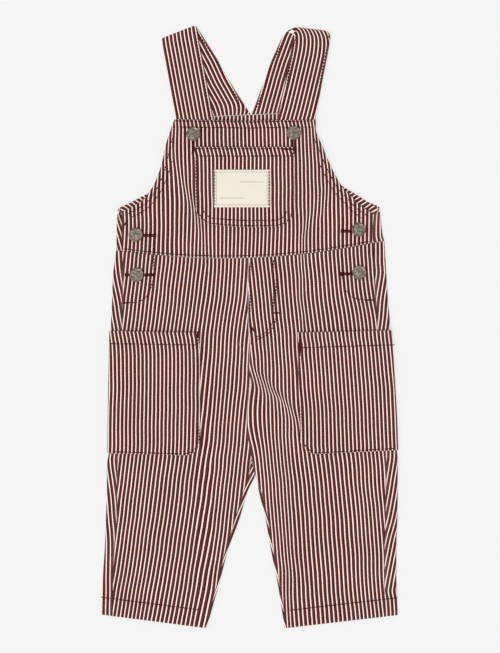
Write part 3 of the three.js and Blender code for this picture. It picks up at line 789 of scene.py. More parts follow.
def fly_line(radius):
    x, up = FLY["centre"][0] + radius, FLY["centre"][1]
    return [(x, FLY["top"]), (x, up)] + arc(FLY["centre"], radius, 0, FLY["end"])


def hem_stitches(side):
    """The hem's row of stitches, on the back panel's strip and on the front panel."""
    leg = LEGS[side]
    ends = (leg["side_x"][-1], leg["seam"][-1], leg["inner_x"][-1])
    across = [(x, leg_up(leg, -1, x) + LEG_HEM_STITCHES) for x in ends]
    return across[:2], across[1:]


def stitch_lines():
    outer, inner = BIB_POCKET_STITCHES_IN
    x = np.linspace(WAIST_STITCHES["left"], WAIST_STITCHES["right"], WAIST_STITCHES["places"])
    lines = {
        "front_bib": BIB_HEM_STITCHES + [armhole_line(*row) for row in ARMHOLE_STITCHES],
        "bib_pocket": [bib_pocket_outline(outer), bib_pocket_outline(inner)[BIB_POCKET_FOOT]],
        "label": [],
    }
    lines["front_bib"].append(stacked(x, waist_up(x) + WAIST_STITCHES["above"]))
    for edge in (-1, 1):
        x = LABEL["x"] + edge * (LABEL["width"] / 2 - LABEL_STITCHES["inset"])
        lines["label"].append([(x, LABEL["up"] + end * LABEL_STITCHES["reach"]) for end in (1, -1)])
    for side in OUTWARD:
        on_back, on_front = hem_stitches(side)
        lines[f"front_leg_{side}"] = [on_front]
        lines[f"back_leg_{side}"] = [on_back]
    centre_seam = leg_line(dense_rows(LEGS["right"], LEG_LINE_SPACING, "inner_up"), 1.0)
    lines["front_leg_right"] += [fly_line(radius) for radius in FLY["radii"]]
    lines["front_leg_right"].append(offset_edge(centre_seam[SEAM_STITCHES], SEAM_STITCHES_IN))
    for side in OUTWARD:
        lines[f"side_pocket_{side}"] = [side_pocket_outline(side, POCKET_STITCHES_IN)]
    for piece, mouth in MOUTH_STITCHES.items():
        lines[piece] += mouth
    for side, outline in PLACKETS.items():
        seam = waist_up(outline[0][0])
        lines["front_bib"].append([outline[0], (outline[0][0], seam)])
        lines[f"front_leg_{side}"].append([(outline[1][0], seam - SEAM_GAP), *outline[1:]])
    return lines


STITCH_LINES = stitch_lines()


def troughed(away):
    """How deep a row of stitches pulls the cloth, this far from it."""
    return TROUGH_DEPTH * np.exp(-((away / TROUGH_WIDTH) ** 2))


def sewn_relief(piece, x, up):
    """The trough that a row of stitches pulls in the cloth, and the puckers beside it."""
    relief = level(x, up)
    for line in STITCH_LINES.get(piece, []):
        away, _, along, _ = distance_to_line(line, x, up)
        wave = np.sin(2 * np.pi * (along + PUCKER_SLANT * away) / PUCKER_LENGTH)
        turns = 2 * np.pi * along / (LONG_PUCKER["lengths"] * PUCKER_LENGTH)
        wave += LONG_PUCKER["height"] * np.sin(turns + LONG_PUCKER["phase"])
        beside = np.exp(-((2 * away / PUCKER_REACH - 1) ** 2))
        relief += PUCKER_HEIGHT * wave * beside - troughed(away)
    return relief


# Cloth coordinates: across the stripes and along them, in millimetres


def grain_shift(piece, x, up):
    """How far sideways a stripe has moved by this height, summed up its length in steps of 1 mm."""
    columns, rows = GRAINS[piece]
    rows = np.array(rows, float)
    heights = np.arange(rows[-1, 0] - GRAIN_MARGIN, rows[0, 0] + GRAIN_MARGIN, 1.0)
    shifts = []
    for n in range(len(columns)):
        lean = np.interp(heights, rows[::-1, 0], rows[::-1, n + 1])
        moved = np.cumsum(np.tan(np.radians(lean)))
        shifts.append(np.interp(up, heights, moved[-1] - moved))
    wavering = waves(WAVERING, x, up)
    if len(columns) == 1:
        return shifts[0] + wavering
    last = len(columns) - 1
    place = np.clip(np.interp(x, columns, np.arange(last + 1)), 0, last - JUST_INSIDE)
    n = place.astype(int)
    low = np.take_along_axis(np.stack(shifts), n[None], 0)[0]
    high = np.take_along_axis(np.stack(shifts), n[None] + 1, 0)[0]
    return low + (place - n) * (high - low) + wavering


# Shells of cloth


def pattern_origin():
    """Where the centre front at the hems lies in the frame, in millimetres.

    It is read from the label's solid, whose place in the pattern is known.
    """
    low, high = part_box("label")
    middle = (np.array(low) + np.array(high)) / 2 / MM
    return np.array([middle[0] - LABEL["x"], middle[1] - LABEL["up"], 0.0])


PATTERN_ORIGIN = pattern_origin()


def to_frame(points):
    return (np.asarray(points, float) + PATTERN_ORIGIN) * MM


def new_object(name, data):
    made = bpy.data.objects.new(name, data)
    bpy.context.scene.collection.objects.link(made)
    return made


def new_piece(name, points, faces, material):
    """A smooth piece from places in the frame."""
    mesh = bpy.data.meshes.new(name)
    mesh.from_pydata(points.tolist(), [], faces)
    mesh.shade_smooth()
    mesh.materials.append(material)
    return new_object(name, mesh)


def dress(piece, node=None):
    """Lets a piece ride on the body, in place of a node if it is given."""
    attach(piece, "root")
    if node:
        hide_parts(node)


def neighbours(mask):
    """For each place of a grid, whether the one above, below, before and after it is there."""
    padded = np.pad(mask, 1)
    return padded[:-2, 1:-1], padded[2:, 1:-1], padded[1:-1, :-2], padded[1:-1, 2:]


def whole_cells(mask):
    return mask[:-1, :-1] & mask[:-1, 1:] & mask[1:, :-1] & mask[1:, 1:]


def edge_rings(mask):
    """For each place of a grid, how many places it is from the piece's edge, up to 3."""
    rings = np.zeros(mask.shape, int)
    inner = mask
    for ring in range(1, len(EDGE_FULLNESS) + 1):
        inner = np.logical_and.reduce([inner, *neighbours(inner)])
        rings[inner] = ring
    return rings


def shell_faces(mask):
    """The faces of a shell: its right side, its wrong side and its edges."""
    count = int(mask.sum())
    number = np.full(mask.shape, -1)
    number[mask] = np.arange(count)
    cell = whole_cells(mask)
    a, b = number[:-1, :-1], number[:-1, 1:]
    d, e = number[1:, :-1], number[1:, 1:]
    faces = [stacked(a, d, e, b)[cell], stacked(a, b, e, d)[cell] + count]
    for beside, (start, end) in zip(neighbours(cell), ((a, b), (e, d), (d, a), (b, e))):
        start, end = start[cell & ~beside], end[cell & ~beside]
        faces.append(stacked(start, end, end + count, start + count))
    return np.concatenate(faces)


def signed_volume(corners):
    """Below 0 where the faces of a closed shell look inwards; up to a factor."""
    halves = (np.cross(corners[:, n], corners[:, n + 1]) for n in (1, 2))
    return sum(np.einsum("ij,ij->i", corners[:, 0], half).sum() for half in halves)


def shell(name, out, inside, weave, mask=None, rolled=True, material=None):
    """A closed shell of cloth from two grids of places, with its cloth coordinates."""
    mask = np.ones(out.shape[:2], bool) if mask is None else mask
    rings = edge_rings(mask)
    if rolled:
        fullness = np.array([*EDGE_FULLNESS, 1.0])[rings][..., None]
        middle = (out + inside) / 2
        out = middle + (out - middle) * fullness
        inside = middle + (inside - middle) * fullness
    faces = shell_faces(mask)
    points = to_frame(np.concatenate([out[mask], inside[mask]]))
    if signed_volume(points[faces]) < 0:
        faces = faces[:, ::-1]
    piece = new_piece(name, points, faces.tolist(), material or TWILL_MATERIAL)
    mesh = piece.data
    cloth = mesh.uv_layers.new(name="weave")
    places = np.concatenate([weave[mask], weave[mask]])
    loops = np.empty(len(mesh.loops), int)
    mesh.loops.foreach_get("vertex_index", loops)
    cloth.data.foreach_set("uv", places[loops].astype(np.float32).ravel())
    worn = mesh.attributes.new("worn", "FLOAT", "POINT")
    near_edge = np.clip(1 - rings[mask] / len(EDGE_FULLNESS), 0, 1)
    worn.data.foreach_set("value", np.concatenate([near_edge, near_edge]).astype(np.float32))
    return piece


def cut_size(grid, mask=None):
    """Width, length and area of the flat cloth in a grid of places, in metres."""
    mask = np.ones(grid.shape[:2], bool) if mask is None else mask
    both = (mask[:, 1:] & mask[:, :-1])[..., None]
    widths = np.linalg.norm(np.diff(grid, axis=1) * both, axis=2).sum(axis=1)
    length = travelled(grid[:, grid.shape[1] // 2])[-1] * MM
    one = np.cross(grid[1:, 1:] - grid[:-1, :-1], grid[1:, :-1] - grid[:-1, 1:])
    area = (np.linalg.norm(one, axis=2) * whole_cells(mask)).sum() / 2 * MM * MM
    width = widths.max() * MM
    return width, max(length, area / width), area


def finish_cloth(piece, node, grid, mask=None):
    dress(piece, node)
    width, length, area = cut_size(grid, mask)
    area = min(area, width * length)


def laid_piece(node, x, up, under, u):
    """A piece that lies flat, from its places, its underside and its place across the stripes."""
    top = under + WALL + sewn_relief(node, x, up) + hem_relief(node, x, up)
    piece = shell(f"{node}_cloth", stacked(x, up, top), stacked(x, up, under), stacked(u, up))
    finish_cloth(piece, node, stacked(x, up, 0 * x))


def folded_piece(node, out, inside, weave, mask=None, grid=None):
    """A piece that is folded round others; its cut size is measured on its right side."""
    piece = shell(f"{node}_cloth", out, inside, weave, mask)
    finish_cloth(piece, node, out if grid is None else grid, mask)


# Bib


def front_bib():
    rows = dense_rows(BIB, FINE, "middle")
    widest = (rows["right_x"] - rows["left_x"]).max()
    x, up = bib_grid(rows, rows["left_x"], rows["right_x"], spaced(widest, FINE) / widest)
    drift = creased(x, up)[1] + armhole_drift(x, up)
    u = x - grain_shift("front_bib", x, up) + drift
    laid_piece("front_bib", x, up, front_height(x, up), u)


def pocket_underside(x, up):
    return front_height(x, up) + WALL + LAID_GAP + gaping("bib_pocket", x, up)


def bib_pocket():
    x, up = bib_pocket_places()
    u = x - grain_shift("bib_pocket", x, up)
    laid_piece("bib_pocket", x, up, pocket_underside(x, up), u)


def label_top(x, up):
    return pocket_underside(x, up) + WALL + LAID_GAP + LABEL["wall"]


def label():
    width, height = LABEL["width"], LABEL["height"]
    across, down = np.meshgrid(spaced(width, FINE) - width / 2, height / 2 - spaced(height, FINE))
    x, up = LABEL["x"] + across, LABEL["up"] + down
    edge = np.minimum(width / 2 - np.abs(across), height / 2 - np.abs(down))
    trough = np.exp(-(((edge - LABEL_TROUGH["inset"]) / LABEL_TROUGH["width"]) ** 2))
    ripple = np.sin(x / LABEL_RIPPLE["across"]) * np.sin(up / LABEL_RIPPLE["up"])
    top = label_top(x, up) - LABEL_TROUGH["depth"] * trough + LABEL_RIPPLE["height"] * ripple
    sides = (stacked(x, up, top), stacked(x, up, top - LABEL["wall"]))
    piece = shell("label_cloth", *sides, stacked(across, down), material=LABEL_MATERIAL)
    finish_cloth(piece, "label", stacked(x, up, 0 * x))


# Back panels, which go round the sides. Their places come in pairs: right side, wrong side.


def fold_places(centre_x, centre_up, outward, beyond=0.0):
    """Places from the table round a fold to the layer above."""
    middle = floor_height(centre_x, centre_up) + FOLD_RADIUS
    angles = np.linspace(-np.pi / 2, np.pi / 2, FOLD_STEPS + 1)
    sides = []
    for radius in (FOLD_RADIUS + beyond, FOLD_RADIUS + beyond - WALL):
        x = centre_x + outward * radius * np.cos(angles)
        sides.append(stacked(x, np.full_like(x, centre_up), middle + radius * np.sin(angles)))
    return sides


def strip_places(start, end, count):
    """Places on the strip that shows on the front, from the fold to the seam."""
    x, up = (np.linspace(a, b, count + 1)[1:] for a, b in zip(start, end))
    z = floor_height(x, up) + FRONT_UNDERSIDE + STRIP_UNDULATION * waves(UNDULATIONS, x, up)
    return stacked(x, up, z + WALL), stacked(x, up, z)


def turned_side(at, centre_x, outward, seam_x, count=STRIP_STEPS):
    """Places from just past the fold's start to the seam."""
    centre = (centre_x, at(centre_x))
    fold = fold_places(*centre, outward)
    strip = strip_places(centre, (seam_x, at(seam_x)), count)
    return [np.concatenate([fold[which][1:], strip[which]]) for which in (0, 1)]


def floor_places(at, x):
    z = floor_height(x, at(x))
    return [stacked(x, at(x), z), stacked(x, at(x), z + WALL)]


def backwards(places):
    return [side[::-1] for side in places]


def joined_rows(rows):
    """Grids of a panel's right side, its wrong side and what there is of it.

    Each row is a list of places from one end to the other, with whether they are there.
    """
    out, inside = (
        np.array([np.concatenate([places[which] for places, _ in row]) for row in rows])
        for which in (0, 1)
    )
    there = ([np.full(len(places[0]), part) for places, part in row] for row in rows)
    return out, inside, np.array([np.concatenate(row) for row in there])


def path_across(grid, start):
    """Distance along each row of a grid of places, from the column given."""
    steps = np.linalg.norm(np.diff(grid, axis=1), axis=2)
    path = np.concatenate([np.zeros((len(grid), 1)), np.nancumsum(steps, axis=1)], axis=1)
    return path - path[:, start:start + 1]


def waist_bow(side, x, inner_up):
    """How far a leg row near the waist bends to run along the waist seam."""
    leg = LEGS[side]
    first = leg["inner_up"][0] - leg["inner_up"][1]
    near = np.clip(1 - (leg["inner_up"][0] - inner_up) / first, 0, 1)
    return near * (waist_up(x) - SEAM_GAP - leg_up(leg, 0, x))


def back_leg(side):
    outward = OUTWARD[side]
    rows = dense_rows(LEGS[side], BACK_LEG_SPACING, "inner_up")
    folds = np.array(LEG_FOLDS[side], float)
    lower = rows["inner_up"] <= folds[0, 0]
    fold = smooth(-rows["inner_up"], -folds[:, 0], folds[:, 1])
    shares = np.linspace(0, 1, BACK_LEG_COLUMNS)
    panel = []
    for n, inner_x in enumerate(rows["inner_x"]):
        def at(x, n=n):
            return leg_up(rows, n, x) + waist_bow(side, x, rows["inner_up"][n])

        centre_x = rows["side_x"][n] - outward * FOLD_RADIUS
        outer = turned_side(at, centre_x, outward, rows["seam"][n] + outward * SEAM_GAP / 2)
        inner_centre = (fold[n] if lower[n] else inner_x) + outward * FOLD_RADIUS
        inner_seam = outward * max(outward * (inner_x - outward * SEAM_GAP), outward * inner_centre)
        panel.append([
            (backwards(outer), True),
            (floor_places(at, centre_x + shares * (inner_x - centre_x)), True),
            (floor_places(at, np.array([inner_centre])), lower[n]),
            (turned_side(at, inner_centre, -outward, inner_seam, INNER_STRIP_STEPS), lower[n]),
        ])
    out, inside, mask = joined_rows(panel)
    across, along = path_across(out, len(outer[0]) - FOLD_STEPS // 2), out[..., 1]
    u = across + grain_shift(f"back_leg_{side}", across, along)
    inner = len(outer[0]) + len(shares) + 1 + FOLD_STEPS // 2
    x = out[:, inner:, 0]
    u[:, inner:] = x - grain_shift(f"inside_leg_{side}", x, along[:, inner:])
    folded_piece(f"back_leg_{side}", out, inside, stacked(u, along), mask)


def back_bib():
    rows = dense_rows(BACK_BIB, BACK_BIB_SPACING, "middle")
    down = BACK_BIB["middle"][0] - BACK_BIB["middle"]
    row_down = BACK_BIB["middle"][0] - rows["middle"]
    side_down = down[BACK_BIB_SIDES_FROM:]
    seams = np.array(BACK_BIB_SEAMS, float).T
    goes_round = row_down >= side_down[0] - JUST_INSIDE
    shares = np.linspace(0, 1, BACK_BIB_COLUMNS)
    panel = []
    for n, there in enumerate(goes_round):
        def at(x, n=n):
            return across_bib(rows, n, x)

        ends, turned = [], []
        for (side, outward), seam in zip(OUTWARD.items(), seams):
            x = rows[f"{side}_x"][n] - outward * (FOLD_RADIUS if there else 0.0)
            seam_x = np.interp(row_down[n], side_down, seam) + outward * SEAM_GAP / 2
            ends.append(x)
            turned.append(turned_side(at, x, outward, seam_x))
        floor_x = ends[0] + shares * (ends[1] - ends[0])
        panel.append([
            (backwards(turned[0]), there), (floor_places(at, floor_x), True), (turned[1], there),
        ])
    out, inside, mask = joined_rows(panel)
    across = path_across(out, out.shape[1] // 2)
    weave = stacked(across - grain_shift("back_bib", across, out[..., 1]), out[..., 1])
    folded_piece("back_bib", out, inside, weave, mask)


# Front legs and side pockets


def seam_swing(x, up):
    """How far the centre seam swings aside from its straight line above the crotch."""
    place, aside = np.array(SEAM_SWING, float).T
    return smooth(-up, -place, aside) * np.exp(-((x / SEAM_SWING_REACH) ** 2))


def front_leg(side):
    rows = dense_rows(LEGS[side], FINE, "inner_up")
    seam = rows["seam"] - OUTWARD[side] * SEAM_GAP / 2
    widest = np.abs(rows["inner_x"] - seam).max()
    straight_x = seam[:, None] + spaced(widest, FINE) / widest * (rows["inner_x"] - seam)[:, None]
    up = leg_up(rows, np.arange(len(seam))[:, None], straight_x)
    up = up + waist_bow(side, straight_x, rows["inner_up"][:, None])
    x = straight_x + seam_swing(straight_x, up)
    drift = creased(x, up)[1]
    u = x + np.clip(-x / SEAM_STEADY, 0, 1) * drift if side == "left" else straight_x + drift
    name = f"front_leg_{side}"
    u = u - grain_shift(name, x, up)
    laid_piece(name, x, up, front_height(x, up), u)


def side_pocket(side):
    outward = OUTWARD[side]
    name = f"side_pocket_{side}"
    part = {key: values[POCKET_MOUTH_ROW:POCKET_FOOT_ROW + 1] for key, values in LEGS[side].items()}
    rows = dense_rows(part, FINE, "inner_up")
    line = leg_line(rows, SIDE_POCKET_SHARE[side])[:, 0]
    fallen = np.clip(1 - (rows["inner_up"] - rows["inner_up"][-1]) / SIDE_POCKET_CORNER, 0, 1)
    corner = SIDE_POCKET_CORNER * (1 - np.sqrt(np.clip(1 - fallen**2, 0, 1)))
    centre = rows["side_x"] - outward * FOLD_RADIUS
    width = np.abs(line - centre).max()
    front_shares = spaced(width, FINE, last=False) / width
    behind_shares = spaced(width * SIDE_POCKET_BEHIND, COARSE, first=False) / width
    outs, insides = [], []
    for n, edge in enumerate(line + outward * corner):
        x = edge + front_shares * (centre[n] - edge)
        up = leg_up(rows, n, x)
        blend = np.clip(np.abs(x - centre[n]) / POCKET_BLEND, 0, 1)
        flat = floor_height(x, up) + FRONT_UNDERSIDE + WALL + SEAM_GAP
        under = front_height(x, up) + WALL + SEAM_GAP + gaping(name, x, up)
        under = flat + blend * (under - flat)
        top = under + WALL + blend * (sewn_relief(name, x, up) + hem_relief(name, x, up))
        fold = fold_places(centre[n], leg_up(rows, n, centre[n]), outward, SEAM_GAP + WALL)
        x_behind = centre[n] + behind_shares[1:] * (line[n] - centre[n])
        for sides, z, turn, lift in zip((outs, insides), (top, under), backwards(fold), (0, WALL)):
            behind = stacked(x_behind, leg_up(rows, n, x_behind), 0 * x_behind + lift)
            sides.append(np.concatenate([stacked(x, up, z), turn[1:], behind]))
    out, inside = np.array(outs), np.array(insides)
    across = path_across(out, len(front_shares))
    u = across * outward + rows["side_x"][:, None] - grain_shift(name, across, out[..., 1])
    folded_piece(name, out, inside, stacked(u, out[..., 1]))


def button_stand(side):
    places, ups = np.array(STAND_ROWS[side], float).T
    t = spaced(ups[0] - ups[-1], COARSE)
    edge = np.interp(t, ups[0] - ups, places)
    shares = spaced(STAND_WIDTH, COARSE)
    x = edge[:, None] - OUTWARD[side] * (SEAM_GAP / 2 + shares)
    up = np.repeat((ups[0] - t)[:, None], len(shares), axis=1)
    under = floor_height(x, up) + FRONT_UNDERSIDE
    laid_piece(f"button_stand_{side}", x, up, under, x)


# Straps: a straight ribbon folded about a slanting line


def slope(degrees):
    return math.tan(math.radians(degrees))


def along_table(rows, distance):
    places, values = np.array(rows, float).T
    return np.interp(distance, places, values)


def leaned(rows, distance):
    """How far sideways a line has moved after a distance, by its lean in degrees on the way."""
    steps = np.linspace(0, rows[-1][0], LEAN_STEPS)
    slopes = np.tan(np.radians(along_table(rows, steps)))
    moved = np.concatenate([[0], np.cumsum((slopes[1:] + slopes[:-1]) / 2 * np.diff(steps))])
    return np.interp(distance, steps, moved)


def ribbon(side):
    """A strap's folding, as a function from along and across the ribbon to its two sides."""
    cut = STRAPS[side]
    front = heading(cut["lean"] - 90)
    fold_line = front - heading(cut["back_lean"] - 90)
    fold_line /= np.linalg.norm(fold_line)
    away = np.array([-fold_line[1], fold_line[0]])
    away *= np.sign(away[1])
    crosswise = np.array([-front[1], front[0]])
    tangent = np.array([cut["x"], cut["up"]]) - away * STRAP_FOLD_OUTSIDE
    radius = (STRAP_FOLD_INSIDE + STRAP_FOLD_OUTSIDE) / 2
    turn = math.pi * radius

    def places(along, across):
        flat = tangent - along[..., None] * front + across[..., None] * crosswise
        past = (flat - tangent) @ away
        foot = flat - past[..., None] * away
        angle = np.clip(past / radius, 0, math.pi)
        under = np.maximum(past - turn, 0)
        near_side = np.maximum(np.abs(across) - cut["width"] / 2 + cut["corner"], 0) / cut["corner"]
        rounding = cut["corner"] * (1 - np.sqrt(1 - np.minimum(near_side, 1) ** 2))
        from_fold = np.maximum(np.maximum(-past, under), 0)
        tilt = cut["tilt"] * across / (cut["width"] / 2)
        pulled = rounding * np.exp(-from_fold / STRAP_ROUNDING_REACH)
        pulled = pulled - tilt * np.exp(-from_fold / STRAP_TILT_REACH)
        behind = angle / math.pi
        sideways = (1 - behind) * along_table(cut["front_shift"], from_fold)
        sideways = sideways + behind * along_table(cut["back_shift"], from_fold)
        sides = []
        for distance in (STRAP_FOLD_OUTSIDE, STRAP_FOLD_INSIDE):
            moved = np.where(past <= 0, past, distance * np.sin(angle) - under) - pulled
            place = foot + moved[..., None] * away
            z = STRAP_FOLD_OUTSIDE + distance * np.cos(angle)
            sides.append(stacked(place[..., 0] + sideways, place[..., 1], z))
        return sides

    return places, crosswise @ away / (front @ away), turn / -(front @ away)


def strap_ends(side, across):
    """Where each line along the ribbon meets the fold, leaves it, and ends at the back bib."""
    places, slant, turn = ribbon(side)
    at_fold = across * slant
    past_fold = at_fold + turn
    ends = past_fold.copy()
    for _ in range(STRAP_END_TRIES):
        end_out, _ = places(ends, across)
        ends += end_out[:, 1] - across_bib(BACK_BIB, 0, end_out[:, 0]) - SEAM_GAP
    return at_fold, past_fold, ends


def strap(side):
    cut = STRAPS[side]
    across = spaced(cut["width"], FINE) - cut["width"] / 2
    at_fold, past_fold, ends = strap_ends(side, across)
    back_length = (ends - past_fold).mean()
    front_shares = spaced(cut["front"], FINE, last=False) / cut["front"]
    fold_shares = np.linspace(0, 1, FOLD_STEPS + 1)[1:]
    back_shares = spaced(back_length, FINE, first=False)[1:] / back_length
    stretches = (
        (-cut["front"], at_fold, front_shares), (at_fold, past_fold, fold_shares),
        (past_fold, ends, back_shares),
    )
    along = np.array([
        start + share * (end - start) for start, end, shares in stretches for share in shares
    ])
    grid_across = np.broadcast_to(across, along.shape)
    out, inside = ribbon(side)[0](along, grid_across)
    edge = cut["width"] / 2 - np.abs(grid_across)
    normal = out - inside
    normal /= np.linalg.norm(normal, axis=-1, keepdims=True)
    trough = troughed(edge - STRAP_STITCH_INSET)[..., None] * normal
    out, inside = out - trough, inside + trough
    from_end = np.clip(ends - along, 0, STRAP_BEND_REACH)
    shift = slope(cut["bend"]) * (from_end - from_end**2 / (2 * STRAP_BEND_REACH))
    shift = shift + leaned(cut["front_leans"], np.maximum(at_fold - along, 0))
    shift = shift + slope(cut["turn"]) * np.maximum(along - past_fold, 0)
    near_end = (1 - from_end / STRAP_BEND_REACH) ** 2
    u = grid_across * (1 + cut["gather"] * near_end) - shift
    back_middle = (BACK_BIB["left_x"][0] + BACK_BIB["right_x"][0]) / 2
    u += (inside[-1, :, 0] - back_middle - u[-1]).mean()
    middle = (out + inside) / 2
    folded_piece(f"strap_{side}", out, inside, stacked(u, along), grid=middle)


def strap_stitches(side):
    """Rows of stitches along both edges, on the front part and on the back part's upper side."""
    cut = STRAPS[side]
    places = ribbon(side)[0]
    parts = []
    for edge in (-1, 1):
        across = edge * (cut["width"] / 2 - STRAP_STITCH_INSET)
        at_fold, past_fold, ends = (part[0] for part in strap_ends(side, np.array([across])))
        for low, high, which in ((-cut["front"], at_fold, 0), (past_fold, ends, 1)):
            for start in np.arange(low + STRAP_FIRST_STITCH, high - STITCH_PITCH, STITCH_PITCH):
                both = np.array([start, start + STITCH_LENGTH])
                line = places(both, np.array([across, across]))[which]
                parts.append(stitch_faces(line[0], line[1], THREAD, STRAP_THREAD_HEIGHT))
    return parts


def back_facing(side):
    """A strip of cloth sewn inside the back bib's armhole, its stripes running aslant."""
    rows = slice(FACING_TOP_ROW, BACK_BIB_SIDES_FROM + 1)
    ends = [BACK_BIB[f"{side}_{key}"][rows] for key in ("x", "up")]
    down = np.arange(len(ends[0]), dtype=float)
    t = np.linspace(0, down[-1], FACING_LINES)
    edge = stacked(*(smooth(t, down, values) for values in ends))
    turn = (t - down[-1] + FACING_TURN["from"]) * FACING_TURN["slope"]
    edge[:, 0] -= OUTWARD[side] * np.clip(turn, 0, FOLD_RADIUS)
    widths = spaced(FACING_WIDTH, FINE)
    grid = np.stack([offset_edge(edge, -OUTWARD[side] * width) for width in widths], axis=1)
    x, up = grid[..., 0], grid[..., 1]
    z = floor_height(x, up) + WALL
    lie = heading(FACING_GRAIN)
    weave = stacked(travelled(edge)[:, None] * lie[0] + widths * lie[1], up)
    sides = (stacked(x, up, z + FACING_WALL), stacked(x, up, z))
    piece = shell(f"back_facing_{side}", *sides, weave, rolled=False)
    finish_cloth(piece, None, stacked(x, up, 0 * x))


# Sewing


def surface_of(piece, x, up):
    """Height of a piece's right side, where stitches lie."""
    relief = WALL + sewn_relief(piece, x, up) + hem_relief(piece, x, up)
    if piece == "bib_pocket":
        return pocket_underside(x, up) + relief
    if piece == "label":
        return label_top(x, up) - THREAD_LIFT
    if piece.startswith("side_pocket"):
        return front_height(x, up) + WALL + SEAM_GAP + gaping(piece, x, up) + relief
    if piece.startswith("back_leg"):
        return FRONT_UNDERSIDE + floor_height(x, up) + WALL
    return front_height(x, up) + relief


def stitch_faces(start, end, width, height):
    """A stitch: a low rounded bar between two places, tapered at its ends."""
    run = (end - start) / np.linalg.norm(end - start)
    sideways = np.cross([0, 0, 1], run)
    sideways /= np.linalg.norm(sideways)
    up = np.cross(run, sideways)
    points = []
    for t, size in STITCH_PROFILE:
        for across, lift in map(heading, STITCH_ANGLES):
            offset = sideways * across * width / 2 * size + up * (lift * height * size - THREAD_SINK)
            points.append(start + (end - start) * t + offset)
    sides, last = len(STITCH_ANGLES), len(points) - len(STITCH_ANGLES)
    faces = [tuple(range(sides - 1, -1, -1)), tuple(range(last, last + sides))]
    for base in range(0, last, sides):
        for k in range(sides):
            a, b = base + k, base + (k + 1) % sides
            faces.append((a, b, b + sides, a + sides))
    return points, faces


def join_pieces(name, parts, material):
    """One piece from many closed parts, each a list of places and a list of faces."""
    points, faces = [], []
    for part_points, part_faces in parts:
        base = len(points)
        points += [tuple(p) for p in part_points]
        faces += [tuple(base + n for n in face) for face in part_faces]
    piece = new_piece(name, to_frame(points), faces, material)
    work = bmesh.new()
    work.from_mesh(piece.data)
    bmesh.ops.recalc_face_normals(work, faces=work.faces)
    work.to_mesh(piece.data)
    work.free()
    return piece


def row_of_stitches(piece, line):
    line = np.array(line, float)
    path = travelled(line)
    t = np.arange(0, path[-1], STITCH_PITCH)
    ends = stacked(*(np.interp(t, path, values) for values in line.T))
    parts = []
    for a, b in zip(ends[:-1], ends[1:]):
        b = a + (b - a) * STITCH_LENGTH / STITCH_PITCH
        across = np.array([b[1] - a[1], a[0] - b[0]]) / np.linalg.norm(b - a) * THREAD
        x, up = np.array([a, b, a + across, b - across]).T
        z = surface_of(piece, x, up).max() + THREAD_LIFT
        parts.append(stitch_faces(np.array([*a, z]), np.array([*b, z]), THREAD, THREAD_HEIGHT))
    return parts


def topstitching():
    for piece, lines in STITCH_LINES.items():
        parts = []
        for line in lines:
            parts += row_of_stitches(piece, line)
        if piece == "front_bib":
            parts += strap_stitches("left") + strap_stitches("right")
        dress(join_pieces(f"{piece}_stitches", parts, THREAD_MATERIAL))


def satin_bar(piece, x, up, direction, length, width):
    """Close stitches across a line, as round a buttonhole or in a bartack."""
    half = heading(direction + 90) * width / 2
    parts = []
    for t in np.arange(-length / 2, length / 2, SATIN_STEP):
        middle = np.array([x, up]) + heading(direction) * t
        a, b = middle - half, middle + half
        z = surface_of(piece, *np.array([a, b]).T).max() + SATIN_LIFT
        parts.append(stitch_faces(np.array([*a, z]), np.array([*b, z]), SATIN_WIDTH, SATIN_HEIGHT))
    return parts


def buttonholes_and_bartacks():
    parts = []
    for piece, x, up, direction, length, width in BUTTONHOLES:
        middle = np.array([x, up])
        for end in (-1, 1):
            side = middle + heading(direction + 90) * end * width / 4
            parts += satin_bar(piece, *side, direction, length, width / 2)
        for end in (-1, 1):
            bar = (direction, BUTTONHOLE_END["length"], width * BUTTONHOLE_END["width"])
            parts += satin_bar(piece, *(middle + heading(direction) * end * length / 2), *bar)
    for bartack in BARTACKS:
        parts += satin_bar(*bartack)
    dress(join_pieces("buttonholes_and_bartacks", parts, THREAD_MATERIAL))


def tack_button(node, turn):
    """A cap turned about its middle, which stands where its solid does."""
    low, high = (np.array(corner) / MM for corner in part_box(node))
    centre = np.array([(low[0] + high[0]) / 2, (low[1] + high[1]) / 2, low[2]]) - PATTERN_ORIGIN
    angles = 2 * math.pi * np.arange(BUTTON_SIDES) / BUTTON_SIDES + turn
    rings = BUTTON_PROFILE[1:-1]
    points = []
    for radius, height in rings:
        points += [centre + [radius * math.cos(a), radius * math.sin(a), height] for a in angles]
    top, last = len(points), len(points) - BUTTON_SIDES
    points += [centre + [0, 0, BUTTON_PROFILE[0][1]], centre]
    faces = []
    for n in range(BUTTON_SIDES):
        m = (n + 1) % BUTTON_SIDES
        faces += [(n, top, m), (last + n, last + m, top + 1)]
        for base in range(0, last, BUTTON_SIDES):
            faces.append((base + n, base + m, base + BUTTON_SIDES + m, base + BUTTON_SIDES + n))
    dress(join_pieces(f"{node}_cap", [(points, faces)], BRASS_MATERIAL), node)


# Materials


def linear(hex_colour):
    """An sRGB hex colour as linear values."""
    channels = [int(hex_colour[n:n + 2], 16) / 255 for n in (1, 3, 5)]
    values = [c / 12.92 if c <= 0.04045 else ((c + 0.055) / 1.055) ** 2.4 for c in channels]
    return (*values, 1.0)


def add_node(tree, kind, inputs=None, **settings):
    """Adds a shader node. Its inputs are values, sockets, or nodes for their first output."""
    made = tree.nodes.new(f"ShaderNode{kind}")
    for name, value in settings.items():
        if name == "stops":
            set_stops(made.color_ramp, value)
        else:
            setattr(made, name, value)
    for key, value in (inputs or {}).items():
        if isinstance(value, bpy.types.Node):
            value = value.outputs[0]
        if isinstance(value, bpy.types.NodeSocket):
            tree.links.new(value, made.inputs[key])
        else:
            made.inputs[key].default_value = value
    return made


